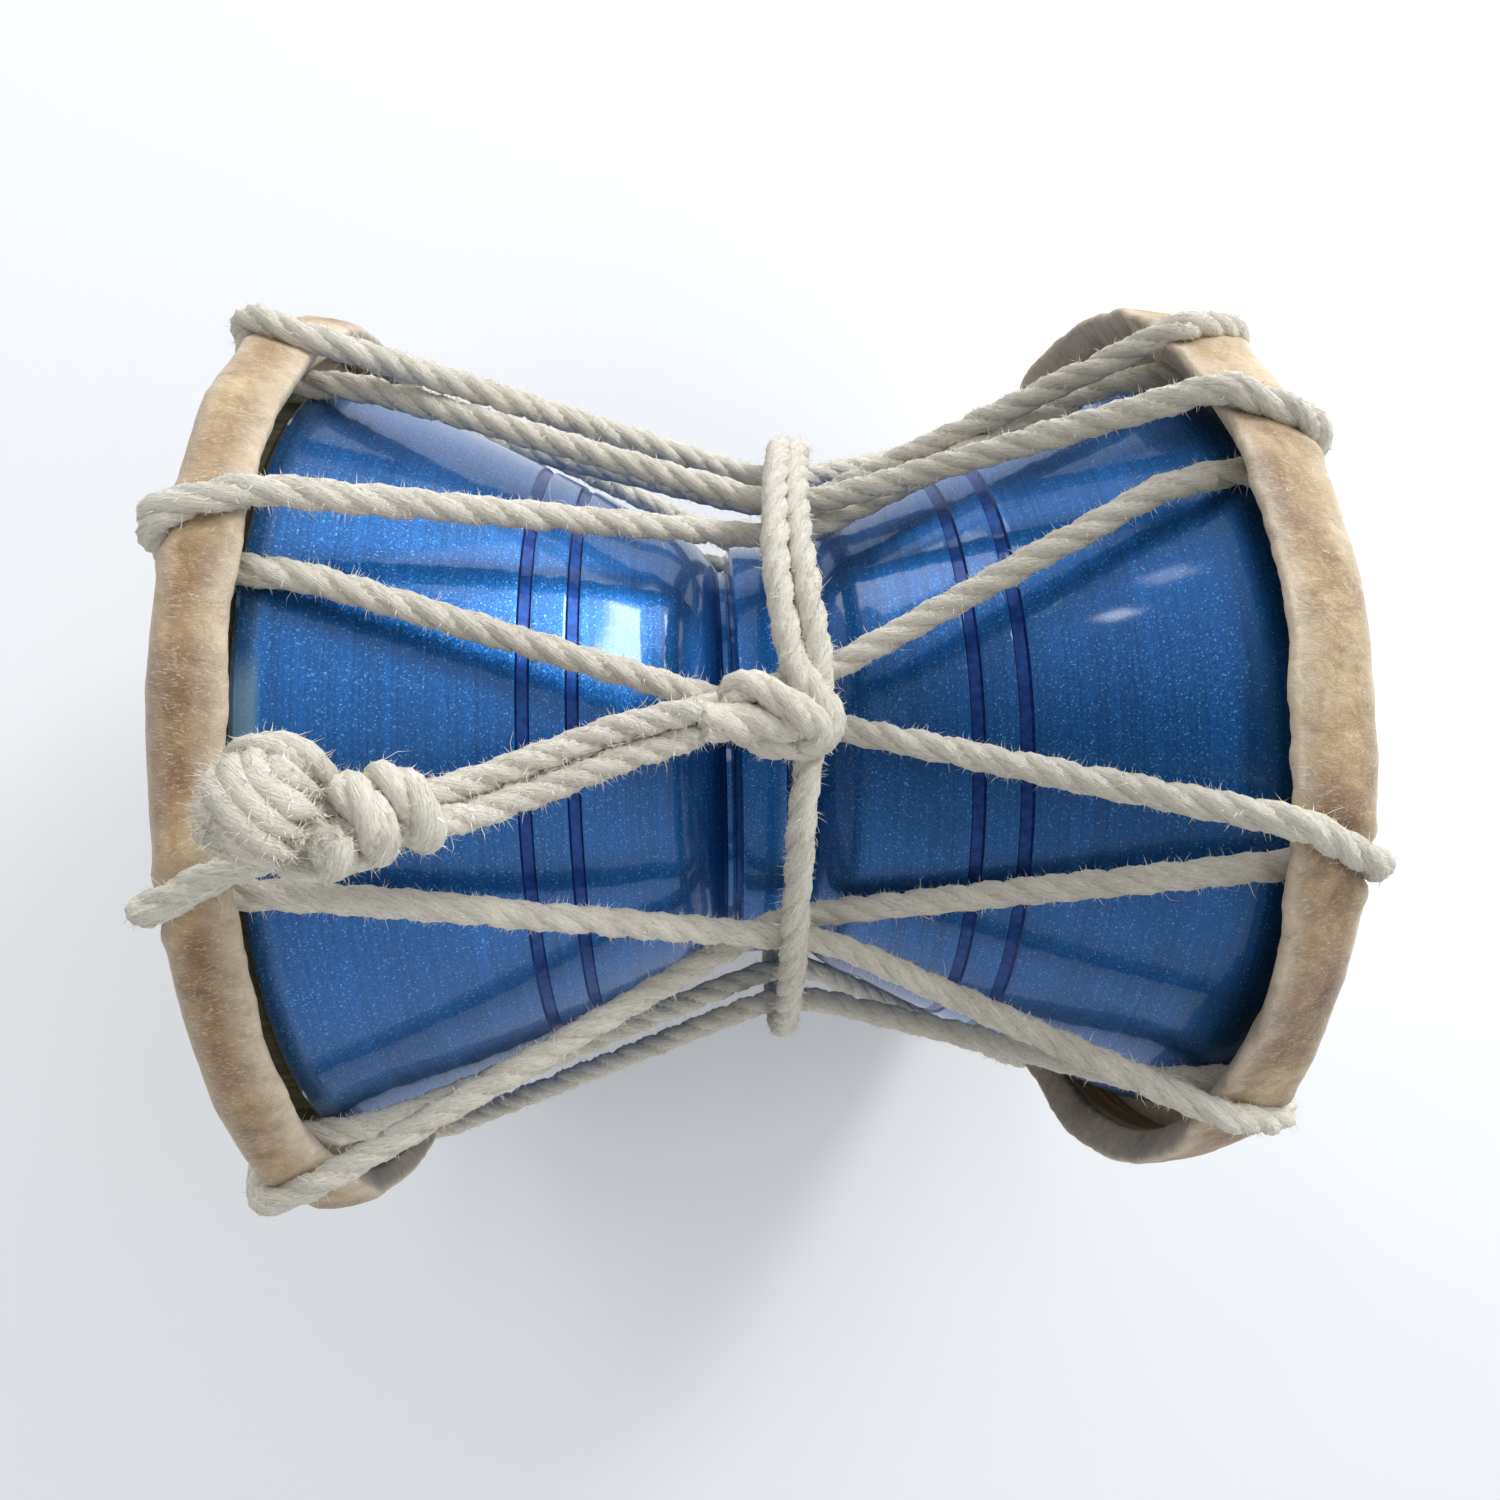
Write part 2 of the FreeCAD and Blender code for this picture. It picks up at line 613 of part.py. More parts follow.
def make_lacing():
    sampled = []
    below_floor = Part.makeBox(
        2 * value["drum_length"],
        2 * value["drum_length"],
        value["drum_length"],
        Vector(-value["drum_length"], -value["drum_length"], -value["drum_length"]),
    )
    for lacing_pass, name in enumerate(("first_lacing_cord", "second_lacing_cord")):
        points, limits = lacing_points(lacing_pass)
        route, route_limits = opened_at_waist(points, limits, BUTT_STEP)
        wire = rounded_route(route, route_limits, name)
        solid = tube(wire, value["cord_diameter"], CORD_SIDES, name)
        add_solid(name, solid.cut(below_floor))
        near = value["cord_diameter"] * NEAR_DIAMETERS
        print_own_gap(wire, value["cord_diameter"], near, name, ends_meet=True)
        sampled.append(wire.discretize(Distance=cord_radius.number))
    gap = least_distance(*sampled) - value["cord_diameter"]
    print("least gap between the two lacing cords", round(gap, 2))


def binding_place_at(turns):
    """Place on the binding after so many turns from its hidden start."""
    angle = math.radians(BINDING_START_ANGLE - FULL_TURN * turns)
    pitch = value["cord_diameter"] + value["binding_gap"]
    return Vector(
        value["binding_start"] - pitch * turns,
        binding_radius * math.sin(angle) + value["binding_lift"],
        axis_height + binding_radius * math.cos(angle),
    )


def make_binding():
    """The cord wound round the gathered lacing at the waist, one unbroken tube."""
    wire = winding_wire(binding_place_at, 0.0, BINDING_TURNS, "waist_binding")
    print_own_gap(wire, value["cord_diameter"], binding_radius, "waist_binding")
    add_solid("waist_binding", tube(wire, value["cord_diameter"], CORD_SIDES, "waist_binding"))


def wound_knot(name, centre, way, radius, pitch, turns, diameter):
    """A tight coil of wraps round the way, centred on the given point."""
    along = Vector(way).normalize()
    across = along.cross(Vector(0, 0, 1)).normalize()
    up = across.cross(along).normalize()

    def place_at(turn):
        angle = math.radians(KNOT_SEED_ANGLE) + 2 * math.pi * turn
        return (
            centre
            + along * (pitch * (turn - turns / 2))
            + across * (radius * math.cos(angle))
            + up * (radius * math.sin(angle))
        )

    wire = winding_wire(place_at, 0.0, turns, name)
    print_own_gap(wire, diameter, radius * math.pi, name)
    add_solid(name, tube(wire, diameter, KNOT_SIDES, name))


def over_axis(spot):
    return Vector(spot[0], spot[1], axis_height + spot[2])


def make_waist_knot():
    """The binding's end, wrapped on itself at the top of the waist."""
    wound_knot(
        "waist_knot",
        over_axis(WAIST_KNOT_PLACE + (binding_radius + value["waist_knot_rise"],)),
        Vector(1, 0, 0),
        (value["cord_diameter"] + value["waist_knot_eye"]) / 2,
        value["cord_diameter"] + value["waist_knot_gap"],
        WAIST_KNOT_TURNS,
        value["cord_diameter"],
    )


def make_striker():
    """The doubled cord that swings from the waist knot, with its two knots."""
    route = [over_axis(spot) for spot in STRIKER_ROUTE]
    knot = over_axis(KNOT_CENTRE)
    end_knot = over_axis(END_KNOT_CENTRE)
    way_out = (end_knot - knot).normalize()
    yarn = value["knot_tube_diameter"]
    loose_yarn = value["end_knot_tube_diameter"]
    end_pitch = loose_yarn + value["wrap_gap"]
    half_end_knot = (end_pitch * END_KNOT_TURNS + loose_yarn) / 2
    tip = end_knot + way_out * (half_end_knot + value["core_overrun"])
    wire = rounded_route(route, [math.inf] * len(route), "striker_cord")
    cord = tube(wire, value["striker_diameter"], KNOT_SIDES, "striker_cord")
    core_wire = rounded_route([route[-2], knot, tip], [math.inf], "striker_core")
    core = tube(core_wire, value["core_diameter"], KNOT_SIDES, "striker_core")
    root = Part.makeSphere(value["striker_diameter"] / 2, route[0])
    add_solid("striker_cord", cord.fuse([root, core]).removeSplitter())
    wound_knot(
        "striker_knot",
        knot,
        knot - route[-2],
        (value["core_diameter"] + yarn) / 2 + value["knot_slack"],
        yarn + value["wrap_gap"],
        KNOT_TURNS,
        yarn,
    )
    wound_knot(
        "striker_end_knot",
        end_knot,
        way_out,
        (value["core_diameter"] + loose_yarn) / 2 + value["end_knot_slack"],
        end_pitch,
        END_KNOT_TURNS,
        loose_yarn,
    )


def check_and_write():
    for item in doc.Objects:
        if "Invalid" in item.State or "Error" in item.State:
            raise RuntimeError("failed object: " + item.Name)
    for piece in pieces:
        if piece.Shape.isNull() or not piece.Shape.isValid():
            raise RuntimeError("bad shape: " + piece.Label)
    os.makedirs("parts", exist_ok=True)
    for piece in pieces:
        piece.Shape.exportStep("parts/" + piece.Label + ".step")
        print(piece.Label, len(piece.Shape.Solids), "solids", round(piece.Shape.Volume, 1), "cubic mm")


make_shell()
make_hoop("left", TURNED_PLACEMENT)
make_hoop("right", AXIS_PLACEMENT)
make_head("left", TURNED_PLACEMENT)
make_head("right", AXIS_PLACEMENT)
make_lacing()
make_binding()
make_waist_knot()
make_striker()
doc.recompute()
check_and_write()
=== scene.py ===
import math

import bpy
import numpy as np
from mathutils import Matrix, Vector, kdtree, noise


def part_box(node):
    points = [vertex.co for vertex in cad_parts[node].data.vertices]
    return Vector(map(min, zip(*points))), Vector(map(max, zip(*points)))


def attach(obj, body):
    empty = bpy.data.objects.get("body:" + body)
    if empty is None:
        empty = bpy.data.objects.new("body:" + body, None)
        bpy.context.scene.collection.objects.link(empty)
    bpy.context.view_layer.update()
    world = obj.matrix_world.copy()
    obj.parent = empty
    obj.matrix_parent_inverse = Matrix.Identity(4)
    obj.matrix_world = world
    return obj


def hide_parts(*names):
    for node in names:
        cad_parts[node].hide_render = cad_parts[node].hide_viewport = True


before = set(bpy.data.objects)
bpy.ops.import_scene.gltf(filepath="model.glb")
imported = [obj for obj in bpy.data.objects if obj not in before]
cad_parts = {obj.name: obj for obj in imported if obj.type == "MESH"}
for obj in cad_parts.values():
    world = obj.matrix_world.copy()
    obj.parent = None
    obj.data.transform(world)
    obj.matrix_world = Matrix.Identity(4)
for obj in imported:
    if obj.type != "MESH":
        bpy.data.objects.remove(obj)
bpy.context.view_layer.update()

# Wooden shell: a solid block of light wood turned to an hourglass and bored through at the waist.
# It is sprayed with a clear blue lacquer that carries fine metal flake, over the lines that the
# lathe tool left. Two lines are scribed on each bowl, and the mouths stay bare under the hide.
MM = 0.001
AXIS = (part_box("wooden_shell")[0][2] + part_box("wooden_shell")[1][2]) / 2
SHELL_SEGMENTS = 224
MOUTH, PAINTED_END, LIP, INNER_LIP = 54.2, 48.6, 49.6, 46.0
PAINTED_RIM = 49.9
SHOULDER = (13.4, 32.6)
SHOULDER_BULGE = 15.0
BOWL_BULGE = 400.0
GROOVE = (4.3, 25.3)
BEAD = (2.9, 28.7)
BORE = (9.0, 13.5)
BOWL_WALL = (26.0, 34.09)
SCRIBES = (-26.0, -21.1, 22.8, 27.4)
SCRIBE_DEPTH = 0.35
SCRIBE_ROOM, SCRIBE_HALF_WIDTH = 1.1, 0.75
BULGE_POINTS = 14
BOWL_STEP, BOWL_POINTS = 0.8, 43
LEFT_RIM = ((48.6, 49.9), (49.4, 50.15), (50.4, 50.34), (50.9, 50.1), (51.0, 49.6))
RIGHT_RIM = ((48.6, 49.9), (49.6, 50.2), (50.6, 50.38), (52.3, 50.3), (52.5, 49.6))
PAINT_ENDS = (-50.95, 52.45)
# Radii between the wall's two faces at distances from the waist, which tell its outside from its inside
WALL_MIDDLE = ((0, 20), (9, 22), (26, 38), (54.2, 47.8))
SCRIBE_PROFILE = ((-0.95, 0), (-0.7, 0.08), (-0.52, 1), (0.52, 1), (0.7, 0.08), (0.95, 0))


def linear(colour):
    """An sRGB hex colour as linear red, green, blue and full alpha."""
    parts = [int(colour[place:place + 2], 16) / 255 for place in (1, 3, 5)]
    return [part / 12.92 if part <= 0.04045 else ((part + 0.055) / 1.055) ** 2.4 for part in parts] + [1.0]


def add_node(tree, kind, inputs=None, stops=None, **settings):
    """Adds a shader node, sets its properties and colour stops, and gives each input a value or a link."""
    made = tree.nodes.new(kind)
    for name, setting in settings.items():
        setattr(made, name, setting)
    for name, given in (inputs or {}).items():
        if isinstance(given, bpy.types.NodeSocket):
            tree.links.new(given, made.inputs[name])
        else:
            made.inputs[name].default_value = given
    if stops:
        band = made.color_ramp
        while len(band.elements) < len(stops):
            band.elements.new(1.0)
        for element, (place, colour) in zip(band.elements, stops):
            element.position = place
            element.color = linear(colour)
    return made


def new_material(name):
    """An empty material with its shader, ready for nodes."""
    material = bpy.data.materials.new(name)
    material.use_nodes = True
    tree = material.node_tree
    return material, tree, tree.nodes["Principled BSDF"]


def bulged(start, end, bulge, count):
    """Points from start to end, without the start, on an arc of that radius that swells outwards."""
    (x0, r0), (x1, r1) = start, end
    chord = math.dist(start, end)
    points = []
    for step in range(1, count + 1):
        share = step / count
        swell = chord ** 2 * share * (1 - share) / (2 * bulge)
        points.append((
            x0 + (x1 - x0) * share - (r1 - r0) / chord * swell,
            r0 + (r1 - r0) * share + (x1 - x0) / chord * swell,
        ))
    return points


def bowl_radius(place):
    """Radius of the painted bowl at a distance from the waist."""
    share = (place - SHOULDER[0]) / (PAINTED_END - SHOULDER[0])
    swell = math.dist(SHOULDER, (PAINTED_END, PAINTED_RIM)) ** 2 * share * (1 - share) / (2 * BOWL_BULGE)
    return SHOULDER[1] + (PAINTED_RIM - SHOULDER[1]) * share + swell


def shell_half(scribes, rim):
    """Outer outline of half the shell from the waist to the mouth, with its scribed lines."""
    outline = [(0.0, BEAD[1]), (BEAD[0] - 0.9, BEAD[1]), (BEAD[0] - 0.35, BEAD[1] - 0.12)]
    outline += [(BEAD[0], BEAD[1] - 0.5), (BEAD[0] + 0.5, GROOVE[1] + 0.2)]
    outline += [(BEAD[0] + 0.8, GROOVE[1]), GROOVE]
    outline += bulged(GROOVE, SHOULDER, SHOULDER_BULGE, BULGE_POINTS)
    plain = [(SHOULDER[0] + BOWL_STEP * step, 0) for step in range(1, BOWL_POINTS + 1)]
    plain = [spot for spot in plain if all(abs(spot[0] - scribe) > SCRIBE_ROOM for scribe in scribes)]
    marks = [(scribe + offset, depth) for scribe in scribes for offset, depth in SCRIBE_PROFILE]
    for place, depth in sorted(plain + marks):
        outline.append((place, bowl_radius(place) - SCRIBE_DEPTH * depth))
    return outline + list(rim) + [(MOUTH - 0.3, LIP)]


def turned(name, outline, segments):
    """A closed outline of (along, radius) turned round the drum's axis: one ring, extruded and scaled."""
    bpy.ops.object.select_all(action="DESELECT")
    bpy.ops.mesh.primitive_circle_add(
        vertices=segments,
        radius=outline[0][1] * MM,
        location=(outline[0][0] * MM, 0, AXIS),
        rotation=(0, math.pi / 2, 0),
    )
    piece = bpy.context.object
    piece.name = name
    bpy.ops.object.transform_apply(location=True, rotation=True, scale=True)
    bpy.ops.object.mode_set(mode="EDIT")
    bpy.ops.mesh.select_all(action="SELECT")
    for (x0, r0), (x1, r1) in zip(outline, outline[1:] + outline[:1]):
        bpy.ops.mesh.extrude_edges_move(TRANSFORM_OT_translate={"value": ((x1 - x0) * MM, 0, 0)})
        bpy.ops.transform.resize(value=(1, r1 / r0, r1 / r0), center_override=(x1 * MM, 0, AXIS))
    bpy.ops.mesh.select_all(action="SELECT")
    bpy.ops.mesh.remove_doubles(threshold=1e-6)
    bpy.ops.mesh.normals_make_consistent(inside=False)
    bpy.ops.object.mode_set(mode="OBJECT")
    return piece


def numbers(piece, attribute="vertices", field="co"):
    """The coordinates of a mesh as an array, in millimetres over the drum's axis."""
    group = getattr(piece.data, attribute)
    values = np.empty(len(group) * 3)
    group.foreach_get(field, values)
    return (values.reshape(-1, 3) - (0, 0, AXIS)) / MM


def smooth(piece, angle):
    bpy.ops.object.select_all(action="DESELECT")
    piece.select_set(True)
    bpy.context.view_layer.objects.active = piece
    bpy.ops.object.shade_smooth_by_angle(angle=math.radians(angle))


right_half = shell_half([scribe for scribe in SCRIBES if scribe > 0], RIGHT_RIM)
left_half = shell_half([-scribe for scribe in SCRIBES if scribe < 0], LEFT_RIM)
left_half = [(-place, radius) for place, radius in left_half]
inside = [
    (MOUTH, LIP - 0.3), (MOUTH, INNER_LIP), BOWL_WALL, (BORE[0] + 1, BORE[1] + 0.7), BORE,
    (-BORE[0], BORE[1]), (-BORE[0] - 1, BORE[1] + 0.7), (-BOWL_WALL[0], BOWL_WALL[1]), (-MOUTH, INNER_LIP),
    (-MOUTH, LIP - 0.3),
]
shell = turned("lacquered_shell", left_half[:0:-1] + right_half + inside, SHELL_SEGMENTS)

# Blue flake lacquer: a clear coat over blue-tinted metal flake, on wood with lathe lines round it.
# It gives a deep blue that turns bright where the light is near, with sparks of single flakes.
# Real flakes of 0.05 mm would not show, so the cells are FLAKE wide, and the sparks are fewer.
# Dust hazes a short stretch of it beside the left hide, near the middle.
FLAKE = 0.15
LATHE_LINE = 0.28
CLOUD = 9
FLAKE_TILT = 0.11
HAZE = 0.85
lacquer, tree, shader = new_material("blue_flake_lacquer")
place = add_node(tree, "ShaderNodeTexCoord").outputs["Object"]
flake_cells = add_node(tree, "ShaderNodeTexVoronoi", {"Vector": place, "Scale": 1 / (FLAKE * MM)})
flake_tint = add_node(tree, "ShaderNodeSeparateColor", {0: flake_cells.outputs["Color"]})
lathe_place = add_node(tree, "ShaderNodeMapping", {"Vector": place, "Scale": (1 / (LATHE_LINE * MM), 25, 25)})
lathe_lines = add_node(
    tree, "ShaderNodeTexNoise", {"Vector": lathe_place.outputs[0], "Scale": 1.0, "Detail": 3.0}
)
cloud = add_node(tree, "ShaderNodeTexNoise", {"Vector": place, "Scale": 1 / (CLOUD * MM), "Detail": 4.0})
deep = add_node(
    tree,
    "ShaderNodeValToRGB",
    {0: flake_tint.outputs[0]},
    stops=((0.0, "#125293"), (0.6, "#185998"), (0.94, "#2369A6"), (1.0, "#5E98CC")),
)
lined = add_node(tree, "ShaderNodeMapRange", {0: lathe_lines.outputs[0], 1: 0.3, 2: 0.7, 3: 0.78, 4: 1.15})
clouded = add_node(tree, "ShaderNodeMapRange", {0: cloud.outputs[0], 1: 0.3, 2: 0.7, 3: 0.92, 4: 1.08})
tone = add_node(tree, "ShaderNodeMath", {0: lined.outputs[0], 1: clouded.outputs[0]}, operation="MULTIPLY")
blue = add_node(tree, "ShaderNodeVectorMath", {0: deep.outputs[0], 3: tone.outputs[0]}, operation="SCALE")
across = add_node(tree, "ShaderNodeSeparateXYZ", {0: place})
end_haze = add_node(
    tree, "ShaderNodeMapRange", {0: across.outputs[0], 1: -48.2 * MM, 2: -48.9 * MM, 3: 0.0, 4: HAZE}
)
off_middle = add_node(tree, "ShaderNodeMath", {0: across.outputs[1]}, operation="ABSOLUTE")
near_middle = add_node(
    tree, "ShaderNodeMapRange", {0: off_middle.outputs[0], 1: 7 * MM, 2: 11 * MM, 3: 1.0, 4: 0.15}
)
hazed = add_node(
    tree, "ShaderNodeMath", {0: end_haze.outputs[0], 1: near_middle.outputs[0]}, operation="MULTIPLY"
)
painted = add_node(
    tree, "ShaderNodeMix", {0: hazed.outputs[0], 6: blue.outputs[0], 7: linear("#6C90A6")}, data_type="RGBA"
)
tree.links.new(painted.outputs[2], shader.inputs["Base Color"])
dulled = add_node(tree, "ShaderNodeMapRange", {0: hazed.outputs[0], 1: 0.0, 2: HAZE, 3: 0.44, 4: 0.7})
tree.links.new(dulled.outputs[0], shader.inputs["Roughness"])
flaked = add_node(tree, "ShaderNodeMapRange", {0: hazed.outputs[0], 1: 0.0, 2: HAZE, 3: 0.9, 4: 0.3})
tree.links.new(flaked.outputs[0], shader.inputs["Metallic"])
flake_tilt = add_node(
    tree, "ShaderNodeVectorMath", {0: flake_cells.outputs["Color"], 1: (0.5, 0.5, 0.5)}, operation="SUBTRACT"
)
tilt = add_node(tree, "ShaderNodeVectorMath", {0: flake_tilt.outputs[0], 3: FLAKE_TILT}, operation="SCALE")
facing = add_node(tree, "ShaderNodeNewGeometry").outputs["Normal"]
tilted = add_node(tree, "ShaderNodeVectorMath", {0: facing, 1: tilt.outputs[0]}, operation="ADD")
flake_way = add_node(tree, "ShaderNodeVectorMath", {0: tilted.outputs[0]}, operation="NORMALIZE")
lathe_bump = add_node(
    tree,
    "ShaderNodeBump",
    {
        "Height": lathe_lines.outputs[0],
        "Strength": 0.3,
        "Distance": 0.05 * MM,
        "Normal": flake_way.outputs[0],
    },
)
tree.links.new(lathe_bump.outputs[0], shader.inputs["Normal"])
shader.inputs["Coat Weight"].default_value = 0.8
shader.inputs["Coat Roughness"].default_value = 0.08
shader.inputs["Coat IOR"].default_value = 1.42

# Scribed line: the same lacquer lying thick in a tool mark, which gives a darker, duller blue.
scribed, tree, shader = new_material("navy_scribed_line")
place = add_node(tree, "ShaderNodeTexCoord").outputs["Object"]
wear = add_node(tree, "ShaderNodeTexNoise", {"Vector": place, "Scale": 1 / (0.9 * MM), "Detail": 5.0})
ink = add_node(tree, "ShaderNodeValToRGB", {0: wear.outputs[0]}, stops=((0.35, "#0E2F6C"), (0.7, "#174A92")))
tree.links.new(ink.outputs[0], shader.inputs["Base Color"])
shader.inputs["Metallic"].default_value = 0.8
shader.inputs["Roughness"].default_value = 0.45
shader.inputs["Coat Weight"].default_value = 0.25

# Bare turned wood of the mouths, the bore and the bowls' insides, dark olive all over.
bare_wood, tree, shader = new_material("bare_turned_wood")
place = add_node(tree, "ShaderNodeTexCoord").outputs["Object"]
grain_place = add_node(tree, "ShaderNodeMapping", {"Vector": place, "Scale": (60, 900, 900)})
grain = add_node(tree, "ShaderNodeTexNoise", {"Vector": grain_place.outputs[0], "Scale": 1.0, "Detail": 6.0})
wood = add_node(
    tree,
    "ShaderNodeValToRGB",
    {0: grain.outputs[0]},
    stops=((0.3, "#3A3C2A"), (0.55, "#585540"), (0.8, "#7A7258")),
)
grain_bump = add_node(
    tree, "ShaderNodeBump", {"Height": grain.outputs[0], "Strength": 0.4, "Distance": 0.1 * MM}
)
tree.links.new(wood.outputs[0], shader.inputs["Base Color"])
tree.links.new(grain_bump.outputs[0], shader.inputs["Normal"])
shader.inputs["Roughness"].default_value = 0.75

for material in (lacquer, scribed, bare_wood):
    shell.data.materials.append(material)
middles = numbers(shell, "polygons", "center")
reach = np.hypot(middles[:, 1], middles[:, 2])
slots = np.zeros(len(middles), dtype=np.int32)
wall_line = np.interp(np.abs(middles[:, 0]), *zip(*WALL_MIDDLE))
slots[(reach < wall_line) | (middles[:, 0] < PAINT_ENDS[0]) | (middles[:, 0] > PAINT_ENDS[1])] = 2
for scribe in SCRIBES:
    slots[(np.abs(middles[:, 0] - scribe) < SCRIBE_HALF_WIDTH) & (reach > wall_line)] = 1
shell.data.polygons.foreach_set("material_index", slots)
smooth(shell, 32)
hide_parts("wooden_shell")
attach(shell, "drum")

# Hoops: split bamboo bent to a ring, one inside each lapped edge of hide, where they can't be seen.
bamboo, tree, shader = new_material("split_bamboo")
place = add_node(tree, "ShaderNodeTexCoord").outputs["Object"]
fibre_place = add_node(tree, "ShaderNodeMapping", {"Vector": place, "Scale": (1400, 90, 90)})
fibre = add_node(tree, "ShaderNodeTexNoise", {"Vector": fibre_place.outputs[0], "Scale": 1.0, "Detail": 5.0})
cane = add_node(tree, "ShaderNodeValToRGB", {0: fibre.outputs[0]}, stops=((0.3, "#8C6A3C"), (0.7, "#C9A56A")))
tree.links.new(cane.outputs[0], shader.inputs["Base Color"])
shader.inputs["Roughness"].default_value = 0.55
for name in ("left_hoop", "right_hoop"):
    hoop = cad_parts[name]
    hoop.data.materials.clear()
    hoop.data.materials.append(bamboo)

# Skins: goat hide put on wet over the bamboo hoops, its edge lapped back inside, and dried hard.
# It keeps short pale hairs, brown blotches and a thick, uneven edge, and it is pressed in where
# the lacing pulls over it. Ten holes near the rim let the lacing through.
HIDE = 0.8
HOOP_INSIDE = 53.8
RIM_BEND, EDGE_BEND, EDGE_LEAN = 1.7, 1.2, 1.3
HALF_LENGTH = 55.0
SKIN_SEGMENTS = 540
HOLE_RADIUS, HOLE_CUT = 51.75, 2.0
HOLE_SHARE, CORNER_SHARE = 0.15, 0.25
BAND_STEP = 0.38
SKIN_SIZES = {"left": (57.5, 56.4, 7.2, 1.6), "right": (56.6, 57.9, 9.6, 2.8)}
CORD = 3.2
SEAT = CORD / 2 + 0.25
RIM_SEAT, FACE_SEAT = 1.2, 0.6
BINDING_RADIUS, BINDING_LIFT = 40.1, 1.4
WAIST_MIDDLE, WAIST_HALF = 4.0, 3.2
WAIST_PULL, WAIST_GAP, CROSSING_GAP = 0.125, 0.25, 0.45
LACING_ANGLES = {
    "left": (
        (51.0, 25.5, -8.5, -48.5, -102.0, -133.0, -162.8, 165.2, 135.0, 105.0),
        (55.5, 20.5, -13.5, -52.5, -104.0, -135.0, -164.4, 163.6, 133.0, 103.0),
    ),
    "right": (
        (48.0, 36.0, -7.5, -41.0, -114.0, -138.0, -162.8, 162.8, 137.0, 110.0),
        (56.0, 31.5, -14.5, -49.0, -116.0, -140.0, -164.4, 161.2, 135.0, 108.0),
    ),
}
# Degrees that the knot and the binding draw a crossing of strands round the waist
WAIST_DRAWN = {0: 9, 2: -9}
# Of the lacing's points: how many a place has, and in which place its two ends butt, under the binding
PLACE_POINTS, BUTT_PLACE, BUTT_GAP = 11, 5, 0.5
# How far the hide's inner edge lies back towards the face, in millimetres, at angles round the drum
EDGE_SHAPE = {
    "left": (
        (-180, -0.5), (-72, -0.8), (-62, -1.6), (-50, -0.3), (-30, 0.4), (-18, 0.5), (2, 0.5), (13, 0.25),
        (25, 0.0), (40, -0.2), (52, -1.2), (60, -2.0), (72, -0.8), (180, -0.5),
    ),
    "right": (
        (-180, -0.5), (-75, -0.5), (-46, -1.8), (-38, -0.6), (-31, 0.45), (-15, 0.3), (-6, -0.1),
        (-2.3, -0.7), (0.6, -0.1), (3.3, -0.3), (8, 0.45), (16, 0.5), (24, 0.2), (35, -0.1), (42, -0.6),
        (48, -2.0), (55, -3.6), (62, -3.0), (70, -1.2), (80, -0.4), (180, -0.5),
    ),
}
# Angle, spread in degrees and height of the two puckers that the hide dried with
GATHERS = {"left": ((58, 7, 0.9), (-64, 6, 0.7)), "right": ((57, 8, 1.3), (-52, 6, 0.7))}
SKIN_SEEDS = {"left": 3.7, "right": 8.3}
LUMP_RING = 60
BAND_RADIUS = 57
DEEPEST_PRESS = 2.4


def skin_outline(side):
    """The hide's closed outline: its face, the rounded rim, the band, its edge and the fold inside."""
    rim, edge, width, tuck = SKIN_SIZES[side]
    end = HALF_LENGTH - width
    outline = [(HALF_LENGTH, radius) for radius in (0.02, 6, 12, 18, 24, 30, 36, 40, 44, 46, 47.5)]
    outline += [(HALF_LENGTH, 48.5 + 0.7 * step) for step in range(9)]
    for step in range(7):
        turn = math.pi / 2 * step / 6
        outline.append((HALF_LENGTH - RIM_BEND * (1 - math.cos(turn)), rim - RIM_BEND * (1 - math.sin(turn))))
    run = width - RIM_BEND - EDGE_BEND
    steps = round(run / BAND_STEP)
    for step in range(1, steps + 1):
        share = step / steps * run / (width - RIM_BEND)
        outline.append((HALF_LENGTH - RIM_BEND - (width - RIM_BEND) * share, rim + (edge - rim) * share))
    fold = Vector((tuck, HOOP_INSIDE - edge)).normalized()
    for step in range(1, 6):
        share = step / 5
        first, last = (1 - share) ** 2, share ** 2
        place = end + EDGE_BEND * first + fold.x * EDGE_LEAN * last
        outline.append((place, edge + fold.y * EDGE_LEAN * last))
    outline += [(end + tuck - 0.1, HOOP_INSIDE + 0.3), (end + tuck + 0.2, HOOP_INSIDE)]
    outline += [(end + tuck + HIDE, HOOP_INSIDE + 0.02), (end + HIDE + 0.3, edge - HIDE - 0.1)]
    for share in (0.3, 0.55, 0.8):
        outline.append((end + HIDE + (width - 2 * HIDE) * share, edge + (rim - edge) * share - HIDE))
    outline += [(HALF_LENGTH - HIDE, rim - HIDE), (HALF_LENGTH - HIDE, HOOP_INSIDE)]
    outline += [(HALF_LENGTH - HIDE, radius) for radius in (52.8, 51.8, 50.8, 49, 44, 30, 12, 0.02)]
    return outline


def on_drum(along, radius, angle):
    """A point in millimetres over the drum's axis."""
    turn = math.radians(angle)
    return Vector((along, radius * math.sin(turn), radius * math.cos(turn)))


